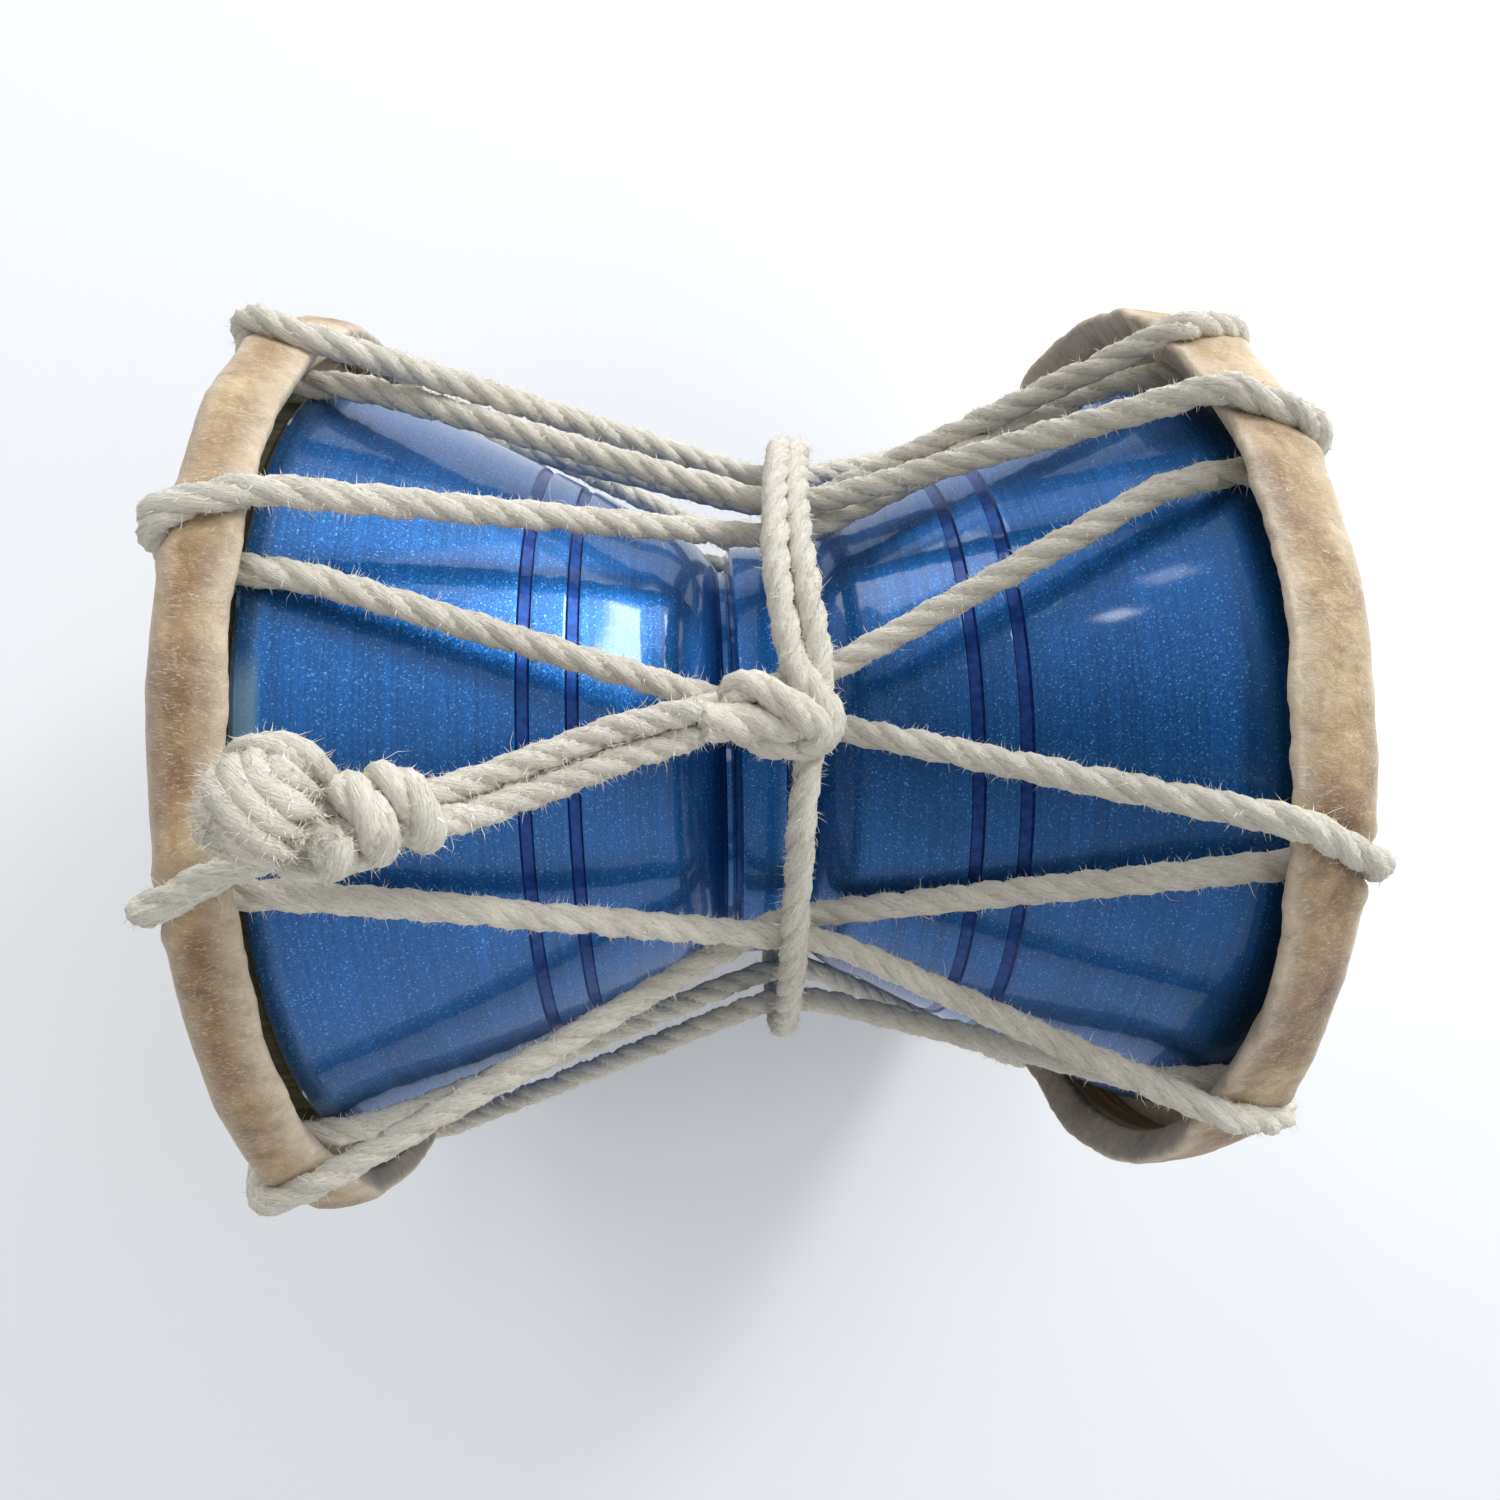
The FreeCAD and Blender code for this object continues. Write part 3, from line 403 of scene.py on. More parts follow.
def band_stations(side, index):
    """Where the cord comes over the band, turns at the rim, goes into its hole and leaves the fold."""
    rim, edge, width, _ = SKIN_SIZES[side]
    sign = -1 if side == "left" else 1
    over_angle, under_angle = LACING_ANGLES[side][0][index], LACING_ANGLES[side][1][index]
    corner_angle = under_angle + (over_angle - under_angle) * CORNER_SHARE
    hole_angle = under_angle + (over_angle - under_angle) * HOLE_SHARE
    pressed = (SEAT - RIM_SEAT) * (0.5 + 0.5 * math.cos(math.radians(over_angle)))
    climb = (rim - edge) * (SEAT + RIM_BEND) / (width - RIM_BEND)
    end = HALF_LENGTH - width
    over = on_drum(sign * end, edge + SEAT + 0.3 - pressed, over_angle)
    corner = on_drum(sign * (HALF_LENGTH + FACE_SEAT), rim + SEAT + climb - pressed, corner_angle)
    hole = on_drum(sign * (HALF_LENGTH + FACE_SEAT), HOLE_RADIUS, hole_angle)
    under = on_drum(sign * (end - 2.2), HOLE_RADIUS, under_angle)
    return over, corner, hole, under


def crossing(start, end, along):
    return start + (end - start) * ((along - start.x) / (end.x - start.x))


def angle_of(point):
    return math.degrees(math.atan2(point.y, point.z))


def waist_points(start, end, other_start, other_end, drawn_round):
    """Two points where the binding holds a strand down, the later strand under the earlier one."""
    across = crossing(start, end, WAIST_MIDDLE)
    other = crossing(other_start, other_end, WAIST_MIDDLE)
    lower = math.remainder(angle_of(across) - angle_of(other), 360) < 0
    drawn = (other - across) * WAIST_PULL
    points = []
    for along in (WAIST_MIDDLE - WAIST_HALF, WAIST_MIDDLE + WAIST_HALF):
        angle = angle_of(crossing(start, end, along) + drawn) + drawn_round
        level = BINDING_RADIUS + BINDING_LIFT * math.sin(math.radians(angle)) - CORD - WAIST_GAP
        points.append(on_drum(along, level - (CORD + CROSSING_GAP if lower else 0), angle))
    return points if start.x < end.x else points[::-1]


def lacing_route(first):
    """Control points of one zigzag of the lacing, with its ends tucked under the binding."""
    sides = ("left", "right")
    points = []
    for step in range(10):
        near, far = sides[(step + first) % 2], sides[(step + first + 1) % 2]
        under = band_stations(near, step)[3]
        over, corner, hole, _ = band_stations(far, (step + 1) % 10)
        other_under, other_over = band_stations(far, step)[3], band_stations(near, (step + 1) % 10)[0]
        waist = waist_points(under, over, other_under, other_over, WAIST_DRAWN.get(step, 0))
        down = under + (waist[0] - under).normalized() * 9
        before = waist[0] + (under - waist[0]).normalized() * 8
        after = waist[1] + (over - waist[1]).normalized() * 8
        up = over + (waist[1] - over).normalized() * 7
        landing = over + (corner - over).normalized() * 2.5
        points += [under, down, before, waist[0], waist[1], after, up, over, landing, corner, hole]
    cut = BUTT_PLACE * PLACE_POINTS + 3
    middle = (points[cut] + points[cut + 1]) / 2
    back = (points[cut] - points[cut + 1]).normalized() * BUTT_GAP
    return [middle - back] + points[cut + 1:] + points[:cut + 1] + [middle + back]


def smooth_line(name, points):
    """Points along the NURBS spline through a route, read from a curve with no bevel."""
    curve = bpy.data.curves.new(name + "_line", "CURVE")
    curve.dimensions = "3D"
    curve.resolution_u = 10
    spline = curve.splines.new("NURBS")
    spline.points.add(len(points) - 1)
    for spot, point in zip(spline.points, points):
        spot.co = (point[0], point[1], point[2], 1)
    spline.order_u = 3
    spline.use_endpoint_u = True
    carrier = bpy.data.objects.new(name + "_line", curve)
    bpy.context.collection.objects.link(carrier)
    mesh = bpy.data.meshes.new_from_object(carrier)
    line = np.array([vertex.co[:] for vertex in mesh.vertices])
    bpy.data.objects.remove(carrier, do_unlink=True)
    bpy.data.meshes.remove(mesh)
    return line


def evenly(line, step):
    """The same line with points a step apart, and their places along it."""
    pieces = np.linalg.norm(np.diff(line, axis=0), axis=1)
    way = np.concatenate(([0], np.cumsum(pieces)))
    count = max(4, round(way[-1] / step))
    places = np.linspace(0, way[-1], count + 1)
    return np.column_stack([np.interp(places, way, line[:, axis]) for axis in range(3)]), places


lacing_lines = [smooth_line("lacing", lacing_route(first)) for first in (0, 1)]


def pressing_cords():
    """A search tree of the lacing's points where it lies over the hide."""
    spots = np.concatenate([evenly(line, 0.35)[0] for line in lacing_lines])
    radii = np.hypot(spots[:, 1], spots[:, 2])
    spots = spots[(radii > 55.0) & (np.abs(spots[:, 0]) > 40) | (np.abs(spots[:, 0]) > 55.2)]
    tree = kdtree.KDTree(len(spots))
    for index, spot in enumerate(spots):
        tree.insert(spot, index)
    tree.balance()
    return tree


def lumps(x, y, z, size, seed):
    """Smooth noise from -1 to 1 over a length in millimetres."""
    return noise.noise(Vector((x / size + seed, y / size - seed, z / size + 2 * seed)))


def edge_offset(side, angle):
    """How far the hide's rough inner edge lies back towards the face at an angle in degrees."""
    turn = math.radians(angle)
    ring = (LUMP_RING * math.sin(turn), LUMP_RING * math.cos(turn))
    seed = SKIN_SEEDS[side]
    table = EDGE_SHAPE[side]
    offset = float(np.interp(angle, [spot[0] for spot in table], [spot[1] for spot in table]))
    hidden = min(1.0, max(0.0, (abs(angle) - 45) / 30))
    offset += lumps(ring[0], ring[1], 0, 15, seed) * 1.1 * hidden
    offset += lumps(ring[0], ring[1], 0, 5.5, seed) * 0.35 + lumps(ring[0], ring[1], 0, 1.4, seed) * 0.22
    return min(offset, 0.6)


def pressed_in(spot, depth, normal, cords):
    """How far a cord over it pushes a spot of the hide in, or its neighbours out."""
    surface = Vector(spot) + normal * depth
    nearest, _, _ = cords.find(surface)
    away = surface - nearest
    if away.length > 5:
        return 0.0
    height = away.dot(normal)
    beside = math.sqrt(max(0.0, away.length_squared - height * height))
    clear = CORD / 2 - 0.05
    if beside < 0.8 * clear:
        allowed = -math.sqrt(clear * clear - beside * beside)
    else:
        allowed = -0.6 * clear + (beside - 0.8 * clear) * 0.75
    gather = 0.30 * math.exp(-((beside - 2.9) / 1.0) ** 2)
    return min(DEEPEST_PRESS, max(0.0, height - allowed)) - gather


def shape_skin(piece, side, sign, cords):
    """Moves the hide's points as it dried: wavy edge, gathers, lumps, and grooves under the cords."""
    rim, edge, width, _ = SKIN_SIZES[side]
    points = numbers(piece)
    seed = SKIN_SEEDS[side]
    for point in points:
        x, y, z = point
        radius = math.hypot(y, z)
        if radius < 45:
            continue
        along = HALF_LENGTH - sign * x
        angle = math.degrees(math.atan2(y, z))
        ring = (LUMP_RING * y / radius, LUMP_RING * z / radius)
        inward = min(1.0, max(0.0, (along - 1) / (width - 1)))
        outer = min(1.0, max(0.0, (radius - HOOP_INSIDE + 0.2) / 2.0))
        shifted = edge_offset(side, angle) * inward ** 2
        swell = lumps(ring[0], ring[1], along * 0.8, 10, seed + 5) * 0.5
        swell += lumps(ring[0], ring[1], along * 0.45, 2.8, seed + 1) * 0.17
        swell += lumps(ring[0], ring[1], along * 0.9, 1.0, seed + 2) * 0.06
        swell += 0.35 * math.sin(math.pi * min(1.0, along / width)) - 0.25 * inward ** 3
        for middle, spread, rise in GATHERS[side]:
            swell += rise * math.exp(-((angle - middle) / spread) ** 2) * (0.3 + 0.7 * inward)
        to_face, to_band = RIM_BEND - along, radius - (rim - RIM_BEND)
        if to_face > 0 and to_band > 0:
            depth = RIM_BEND - math.hypot(to_face, to_band)
            lean = Vector((sign * to_face, to_band)).normalized()
        elif to_band > 0:
            depth = rim + (edge - rim) * inward - radius
            lean = Vector((0, 1))
        else:
            depth = along
            lean = Vector((sign, 0))
        normal = Vector((lean.x, lean.y * y / radius, lean.y * z / radius))
        if depth < 1.2:
            press = pressed_in(point, max(0.0, depth), normal, cords)
            point[0] -= normal.x * press
            point[1] -= normal.y * press
            point[2] -= normal.z * press
        point[0] += sign * shifted
        point[1] += y / radius * swell * outer
        point[2] += z / radius * swell * outer
    piece.data.vertices.foreach_set("co", (points * MM + (0, 0, AXIS)).ravel())
    piece.data.update()


def punch_holes(piece, side, sign):
    """Cuts the ten cord holes through the face and the edge of the fold."""
    bpy.ops.object.select_all(action="DESELECT")
    punches = []
    over, under = LACING_ANGLES[side]
    for over_angle, under_angle in zip(over, under):
        hole_angle = under_angle + (over_angle - under_angle) * HOLE_SHARE
        bpy.ops.mesh.primitive_cylinder_add(
            vertices=20,
            radius=HOLE_CUT * MM,
            depth=8 * MM,
            location=on_drum(sign * HALF_LENGTH, HOLE_RADIUS, hole_angle) * MM + Vector((0, 0, AXIS)),
            rotation=(0, math.pi / 2, 0),
        )
        punches.append(bpy.context.object)
    for punch in punches:
        punch.select_set(True)
    bpy.context.view_layer.objects.active = punches[0]
    bpy.ops.object.join()
    punch = bpy.context.object
    cut = piece.modifiers.new("holes", "BOOLEAN")
    cut.operation = "DIFFERENCE"
    cut.solver = "EXACT"
    cut.object = punch
    bpy.context.view_layer.objects.active = piece
    bpy.ops.object.modifier_apply(modifier="holes")
    bpy.data.objects.remove(punch, do_unlink=True)


def lay_out(piece, side, sign):
    """Gives each point its place on the hide: round the drum, in from the edge, and in from the face."""
    points = numbers(piece)
    laid = np.empty_like(points)
    width = SKIN_SIZES[side][2]
    for index, (x, y, z) in enumerate(points):
        angle = math.degrees(math.atan2(y, z))
        along = HALF_LENGTH - sign * x
        from_edge = width - edge_offset(side, angle) - along
        laid[index] = (math.radians(angle) * BAND_RADIUS, from_edge, along)
    layer = piece.data.attributes.new("hide_place", "FLOAT_VECTOR", "POINT")
    layer.data.foreach_set("vector", laid.ravel())


# Dried goat hide: matt and slightly translucent, cream to tan, with brown blotches where fat and
# dirt stayed, paler where the edge was scraped thin, with fine creases and short hairs lying in it.
hide, tree, shader = new_material("dried_goat_hide")
place = add_node(tree, "ShaderNodeTexCoord").outputs["Object"]
laid = add_node(tree, "ShaderNodeAttribute", attribute_name="hide_place").outputs["Vector"]
from_edge = add_node(tree, "ShaderNodeSeparateXYZ", {0: laid})
blotch = add_node(
    tree,
    "ShaderNodeTexNoise",
    {"Vector": place, "Scale": 1 / (12 * MM), "Detail": 7.0, "Roughness": 0.62, "Distortion": 0.5},
)
blotch_tone = add_node(
    tree,
    "ShaderNodeValToRGB",
    {0: blotch.outputs[0]},
    stops=((0.30, "#6E4F34"), (0.43, "#92744F"), (0.55, "#B4986E"), (0.72, "#D4C09C")),
)
grime = add_node(
    tree, "ShaderNodeTexNoise", {"Vector": place, "Scale": 1 / (2.0 * MM), "Detail": 9.0, "Roughness": 0.74}
)
grime_mask = add_node(tree, "ShaderNodeMapRange", {0: grime.outputs[0], 1: 0.50, 2: 0.72, 3: 0.0, 4: 0.6})
grimed = add_node(
    tree,
    "ShaderNodeMix",
    {0: grime_mask.outputs[0], 6: blotch_tone.outputs[0], 7: linear("#6E5540")},
    data_type="RGBA",
)
edge_fade = add_node(tree, "ShaderNodeMapRange", {0: from_edge.outputs[1], 1: 0.6, 2: 3.2, 3: 0.62, 4: 0.0})
rim_fade = add_node(tree, "ShaderNodeMapRange", {0: from_edge.outputs[2], 1: 0.6, 2: 2.6, 3: 0.5, 4: 0.0})
worn = add_node(
    tree, "ShaderNodeMath", {0: edge_fade.outputs[0], 1: rim_fade.outputs[0]}, operation="MAXIMUM"
)
patchy = add_node(tree, "ShaderNodeMapRange", {0: grime.outputs[0], 1: 0.35, 2: 0.65, 3: 1.25, 4: 0.6})
pale = add_node(tree, "ShaderNodeMath", {0: worn.outputs[0], 1: patchy.outputs[0]}, operation="MULTIPLY")
scraped = add_node(
    tree, "ShaderNodeMix", {0: pale.outputs[0], 6: grimed.outputs[2], 7: linear("#D6C9B2")}, data_type="RGBA"
)
hair_place = add_node(
    tree, "ShaderNodeMapping", {"Vector": place, "Scale": (900, 2600, 2600), "Rotation": (0.2, 0.5, 0.7)}
)
hair = add_node(
    tree,
    "ShaderNodeTexNoise",
    {"Vector": hair_place.outputs[0], "Scale": 1.0, "Detail": 5.0, "Distortion": 2.2},
)
hair_mask = add_node(tree, "ShaderNodeMapRange", {0: hair.outputs[0], 1: 0.52, 2: 0.75, 3: 0.0, 4: 0.55})
haired = add_node(
    tree,
    "ShaderNodeMix",
    {0: hair_mask.outputs[0], 6: scraped.outputs[2], 7: linear("#DDD1BC")},
    data_type="RGBA",
)
tree.links.new(haired.outputs[2], shader.inputs["Base Color"])
crease = add_node(
    tree, "ShaderNodeTexNoise", {"Vector": place, "Scale": 1 / (3.2 * MM), "Detail": 6.0, "Distortion": 1.5}
)
crease_bump = add_node(
    tree, "ShaderNodeBump", {"Height": crease.outputs[0], "Strength": 0.6, "Distance": 0.5 * MM}
)
hair_bump = add_node(
    tree,
    "ShaderNodeBump",
    {"Height": hair.outputs[0], "Strength": 0.5, "Distance": 0.13 * MM, "Normal": crease_bump.outputs[0]},
)
grime_bump = add_node(
    tree,
    "ShaderNodeBump",
    {"Height": grime.outputs[0], "Strength": 0.5, "Distance": 0.32 * MM, "Normal": hair_bump.outputs[0]},
)
tree.links.new(grime_bump.outputs[0], shader.inputs["Normal"])
shader.inputs["Roughness"].default_value = 0.7
shader.inputs["Sheen Weight"].default_value = 0.2
shader.inputs["Sheen Roughness"].default_value = 0.5
shader.inputs["Subsurface Weight"].default_value = 0.06
shader.inputs["Subsurface Radius"].default_value = (1.2 * MM, 0.7 * MM, 0.4 * MM)
shader.inputs["Subsurface Scale"].default_value = 1.0

cords = pressing_cords()
for side, sign in (("left", -1), ("right", 1)):
    outline = [(sign * along, radius) for along, radius in skin_outline(side)]
    skin = turned(side + "_skin", outline, SKIN_SEGMENTS)
    shape_skin(skin, side, sign, cords)
    punch_holes(skin, side, sign)
    lay_out(skin, side, sign)
    skin.data.materials.clear()
    skin.data.materials.append(hide)
    smooth(skin, 60)
    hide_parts(side + "_head_skin")
    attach(skin, "drum")

# Lacing: three-ply cotton cord in two long zigzags. Each goes over one band, through its hole in
# the face, out under the fold, down to the waist, and up over the other band. They cross at the
# waist, where the binding draws them in. The yarn is soft, and its loose fibres stand off it.
PLY_RADIUS, PLY_OFFSET = 1.06, 0.58
LAY = 11.5
RING_STEP = 0.85
PLY_SIDES = 8
HAIR = 0.03
SHORT_HAIRS, BENT_HAIRS = (0.97, 0.35, 1.5), (0.03, 0.9)
HAIR_TURNS = (0.0, 2.094, 4.189)


def unit(rows):
    return rows / np.maximum(np.linalg.norm(rows, axis=1), 1e-9)[:, None]


def carried_frames(line):
    """Tangents of a line, and two directions across it that turn as little as they can."""
    tangents = unit(np.gradient(line, axis=0))
    level = np.cross(tangents[0], (0, 0, 1))
    sides = [level / np.linalg.norm(level)]
    for tangent in tangents[1:]:
        side = sides[-1] - tangent * np.dot(sides[-1], tangent)
        sides.append(side / np.linalg.norm(side))
    sides = np.array(sides)
    return tangents, sides, np.cross(tangents, sides)


def wobble(places, size, seed):
    return np.array([noise.noise(Vector((place / size, seed, seed * 0.37))) for place in places])


def plies(line, places, count, offset, lay, seed, phase=0.0):
    """Lines of the plies that are laid round a line, each with its own small unevenness."""
    _, sides, ups = carried_frames(line)
    laid = []
    for ply in range(count):
        turn = phase + 2 * math.pi * (places / lay + ply / count) + 0.7 * wobble(places, 16, seed + ply)
        reach = offset * (1 + 0.12 * wobble(places, 6, seed + 9 + ply))
        laid.append(line + sides * (reach * np.cos(turn))[:, None] + ups * (reach * np.sin(turn))[:, None])
    return laid


def ply_tube(line, places, radius, middle, seed, ends=1.0):
    """Vertices, faces and fibre coordinates of one ply. Its fibres run along the cord, not along the ply."""
    tangents = unit(np.gradient(line, axis=0))
    outward = line - middle
    outward = unit(outward - tangents * np.sum(outward * tangents, axis=1)[:, None])
    across = np.cross(tangents, outward)
    thick = radius * (1 + 0.12 * wobble(places, 4.2, seed) + 0.07 * wobble(places, 1.3, seed + 4))
    from_end = np.minimum(places, places[-1] - places) / (2.2 * radius)
    thick *= np.clip(ends + (1 - ends) * from_end, ends, 1.0)
    rings = []
    fibres = []
    for side in range(PLY_SIDES):
        turn = side * 2 * math.pi / PLY_SIDES
        rings.append(line + (outward * math.cos(turn) + across * math.sin(turn)) * thick[:, None])
        lain = turn + places * 0.4
        fibres.append(np.column_stack((np.cos(lain), np.sin(lain), places * 0.10 + seed)))
    vertices = np.stack(rings, axis=1).reshape(-1, 3)
    fibres = np.stack(fibres, axis=1).reshape(-1, 3)
    faces = []
    for ring in range(len(line) - 1):
        base = ring * PLY_SIDES
        for side in range(PLY_SIDES):
            following = (side + 1) % PLY_SIDES
            above = base + PLY_SIDES
            faces.append((base + side, base + following, above + following, above + side))
    last = (len(line) - 1) * PLY_SIDES
    faces.append(tuple(range(PLY_SIDES - 1, -1, -1)))
    faces.append(tuple(range(last, last + PLY_SIDES)))
    return vertices, faces, fibres


def fuzz(vertices, middles, count, longest, seed):
    """Loose fibres that stand off the yarn: short straight blades, and a few long bent ones."""
    chance = np.random.default_rng(seed)
    parts = []
    for share, least, most, bent in ((*SHORT_HAIRS, False), (*BENT_HAIRS, longest, True)):
        some = max(1, round(count * share))
        picked = chance.integers(len(vertices), size=some)
        out = unit(vertices[picked] - middles[picked])
        stray = unit(chance.normal(size=(some, 3)))
        first = unit(out * chance.uniform(0.0, 1.0, (some, 1)) + stray * 0.9)
        length = least + (most - least) * chance.random((some, 1)) ** 2
        root = vertices[picked] - out * 0.12
        side = unit(np.cross(first, stray + 0.013)) * HAIR
        if bent:
            other = unit(np.cross(first, side)) * HAIR
            droop = out * chance.uniform(-0.9, 0.2, (some, 1))
            second = unit(first + np.roll(stray, 1, axis=0) * 0.6 + droop)
            bend = root + first * length * 0.5
            rows = [
                spot + side * math.cos(turn) + other * math.sin(turn)
                for spot in (root, bend)
                for turn in HAIR_TURNS
            ]
            rows.append(bend + second * length * 0.5)
            shape = ((0, 1, 4, 3), (1, 2, 5, 4), (2, 0, 3, 5), (3, 4, 6), (4, 5, 6), (5, 3, 6))
        else:
            rows = [root + side * 1.4, root - side * 1.4, root + first * length]
            shape = ((0, 1, 2),)
        points = np.stack(rows, axis=1).reshape(-1, 3)
        bases = range(0, len(points), len(rows))
        faces = [tuple(base + corner for corner in face) for base in bases for face in shape]
        parts.append((points, faces, np.repeat(chance.uniform(0, 9, (some, 3)), len(rows), axis=0)))
    return parts


# Cotton cord: soft unbleached yarn, warm off-white, with streaks along its fibres whose darker ones
# are partly a painted shade of the gaps between fibres, and greyer and browner where hands and dust have
# been.
cotton, tree, shader = new_material("unbleached_cotton_yarn")
place = add_node(tree, "ShaderNodeTexCoord").outputs["Object"]
lain = add_node(tree, "ShaderNodeAttribute", attribute_name="fibre").outputs["Vector"]
strand = add_node(
    tree, "ShaderNodeTexNoise", {"Vector": lain, "Scale": 7.0, "Detail": 5.0, "Roughness": 0.65}
)
# Streaks along the fibres: the yarn's own uneven tone, the darker ones partly painted shade of the gaps
# between fibres
fibre_tone_and_gap_shade = add_node(
    tree,
    "ShaderNodeValToRGB",
    {0: strand.outputs[0]},
    stops=((0.27, "#B8A993"), (0.45, "#E8DFCB"), (0.68, "#FDF8EC")),
)
dirt = add_node(
    tree, "ShaderNodeTexNoise", {"Vector": place, "Scale": 1 / (15 * MM), "Detail": 8.0, "Roughness": 0.7}
)
dirt_mask = add_node(tree, "ShaderNodeMapRange", {0: dirt.outputs[0], 1: 0.46, 2: 0.78, 3: 0.0, 4: 0.5})
dirty = add_node(
    tree,
    "ShaderNodeMix",
    {0: dirt_mask.outputs[0], 6: fibre_tone_and_gap_shade.outputs[0], 7: linear("#A8998A")},
    data_type="RGBA",
)
tree.links.new(dirty.outputs[2], shader.inputs["Base Color"])
strand_bump = add_node(
    tree, "ShaderNodeBump", {"Height": strand.outputs[0], "Strength": 1.0, "Distance": 0.35 * MM}
)
tree.links.new(strand_bump.outputs[0], shader.inputs["Normal"])
shader.inputs["Roughness"].default_value = 0.95
shader.inputs["Sheen Weight"].default_value = 0.4
shader.inputs["Sheen Roughness"].default_value = 0.5
shader.inputs["Specular IOR Level"].default_value = 0.2


def yarn_piece(name, parts):
    """One mesh of plies and fuzz, with the fibre coordinates as an attribute."""
    vertices, faces, fibres = [], [], []
    start = 0
    for part_vertices, part_faces, part_fibres in parts:
        vertices.append(part_vertices)
        faces += [tuple(start + index for index in face) for face in part_faces]
        fibres.append(part_fibres)
        start += len(part_vertices)
    mesh = bpy.data.meshes.new(name)
    points = np.concatenate(vertices) * MM + (0, 0, AXIS)
    points[:, 2] = np.maximum(points[:, 2], 0.0)
    mesh.from_pydata(points, [], faces)
    layer = mesh.attributes.new("fibre", "FLOAT_VECTOR", "POINT")
    layer.data.foreach_set("vector", np.concatenate(fibres).ravel())
    mesh.polygons.foreach_set("use_smooth", [True] * len(mesh.polygons))
    mesh.materials.append(cotton)
    piece = bpy.data.objects.new(name, mesh)
    bpy.context.collection.objects.link(piece)
    return piece


def laid_cord(line, seed, size=1.0, lay=LAY, hairs=58.0, longest=2.8, ends=1.0):
    """Parts of a three-ply cord along a line, with so many loose fibres to a millimetre of it."""
    line, places = evenly(line, RING_STEP)
    parts = []
    for ply, ply_line in enumerate(plies(line, places, 3, PLY_OFFSET * size, lay, seed)):
        tube = ply_tube(ply_line, places, PLY_RADIUS * size, line, seed * 7.3 + ply * 3.1, ends)
        middles = np.repeat(line, PLY_SIDES, axis=0)
        parts += [tube] + fuzz(tube[0], middles, round(places[-1] * hairs / 3), longest, seed * 10 + ply)
    return parts


for first, name in ((0, "first_lacing"), (1, "second_lacing")):
    lacing = yarn_piece(name, laid_cord(lacing_lines[first], seed=3 + first * 5))
    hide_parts(name + "_cord")
    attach(lacing, "drum")

# Binding: the same cord wound once and a third round the gathered lacing, its start tucked under.
# On the near side its two turns lie against each other and part just before the knot.
BINDING_TURNS = 1.365
BINDING_BEGIN = 140
# The knot lifts the binding, at so many degrees along it, over so many to each side
LIFT_AT, LIFT_SPREAD, KNOT_LIFT = 455, 50, 0.6
# Where the binding lies along the drum's axis, at degrees along it
BINDING_LIE = (
    (0, 9.0), (50, 7.8), (75, 6.0), (96, 4.3), (115, 4.4), (127, 5.3), (133, 5.9), (138, 4.9), (143, 3.5),
    (155, 2.9), (173, 2.5), (197, 2.3), (240, 3.0), (300, 4.6), (360, 5.8), (410, 5.6), (435, 3.8),
    (456, 2.0), (475, 1.2), (484, 1.9), (491, 2.9),
)
binding_points = []
for step in range(round(BINDING_TURNS * 36) + 1):
    passed = step * 10
    angle = math.radians(BINDING_BEGIN - passed)
    radius = BINDING_RADIUS + KNOT_LIFT * max(0.0, 1 - abs(passed - LIFT_AT) / LIFT_SPREAD)
    along = float(np.interp(passed, *zip(*BINDING_LIE)))
    binding_points.append((along, radius * math.sin(angle) + BINDING_LIFT, radius * math.cos(angle)))
binding = yarn_piece("binding", laid_cord(smooth_line("binding", binding_points), seed=12, size=1.04))
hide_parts("waist_binding")
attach(binding, "drum")

# Waist knot: the binding's end brought round the crossing and over itself. The tail that carries
# the striker leaves from under this wrap.
KNOT_WRAP = (
    (2.2, 9.4, 40.9), (3.4, 7.2, 41.6), (5.2, 4.6, 42.2), (6.3, 2.8, 42.4), (5.4, 0.8, 41.6),
    (2.6, 0.3, 41.2), (-0.8, 0.7, 41.8), (-3.4, 2.3, 42.8), (-4.5, 4.8, 44.0), (-3.5, 6.7, 45.0),
    (-0.9, 6.0, 45.5), (1.9, 4.2, 45.2), (4.4, 2.7, 44.2), (5.0, 1.2, 42.8), (3.4, 0.2, 41.4),
)
KNOT_HAIRS = 80.0
KNOT_TAIL = ((3.0, 2.6, 42.6), (0.2, 2.7, 43.6), (-2.6, 2.7, 44.9), (-5.2, 2.9, 46.3), (-7.6, 2.9, 47.3))
waist_tie = yarn_piece(
    "waist_tie",
    laid_cord(smooth_line("wrap", KNOT_WRAP), seed=15, size=1.12, lay=13.0, hairs=KNOT_HAIRS)
    + laid_cord(smooth_line("tail", KNOT_TAIL), seed=16, size=1.3, lay=12.0, hairs=KNOT_HAIRS),
)
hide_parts("waist_knot")
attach(waist_tie, "drum")

# Striker: two cords side by side, hanging from the waist knot, with a first knot of two thick
# wraps and an end knot of unlaid yarn that strikes the heads when the drum is twirled.
STRIKER_ROUTE = (
    (-7.5, 2.9, 47.3), (-13.3, 1.8, 48.5), (-20.3, -0.9, 51.4), (-26.6, -3.0, 54.4), (-29.8, -4.0, 56.0),
    (-33.9, -4.9, 59.8), (-41.4, -4.2, 64.4), (-45.0, -3.8, 66.4),
)
FIRST_KNOT, END_KNOT = Vector((-35.2, -4.5, 60.1)), Vector((-41.7, -3.6, 63.6))
SWEEP, ACROSS = Vector((0.72, -0.69, 0)), Vector((0.69, 0.72, 0))
STRAND_OFFSET, STRAND_LAY, STRAND_PHASE = 1.42, 190.0, -0.5
END_KNOT_RADIUS = 4.0
TUFT_HAIRS = 90
striker_line = smooth_line("striker", STRIKER_ROUTE)
even_line, even_places = evenly(striker_line, RING_STEP)
striker_parts = []
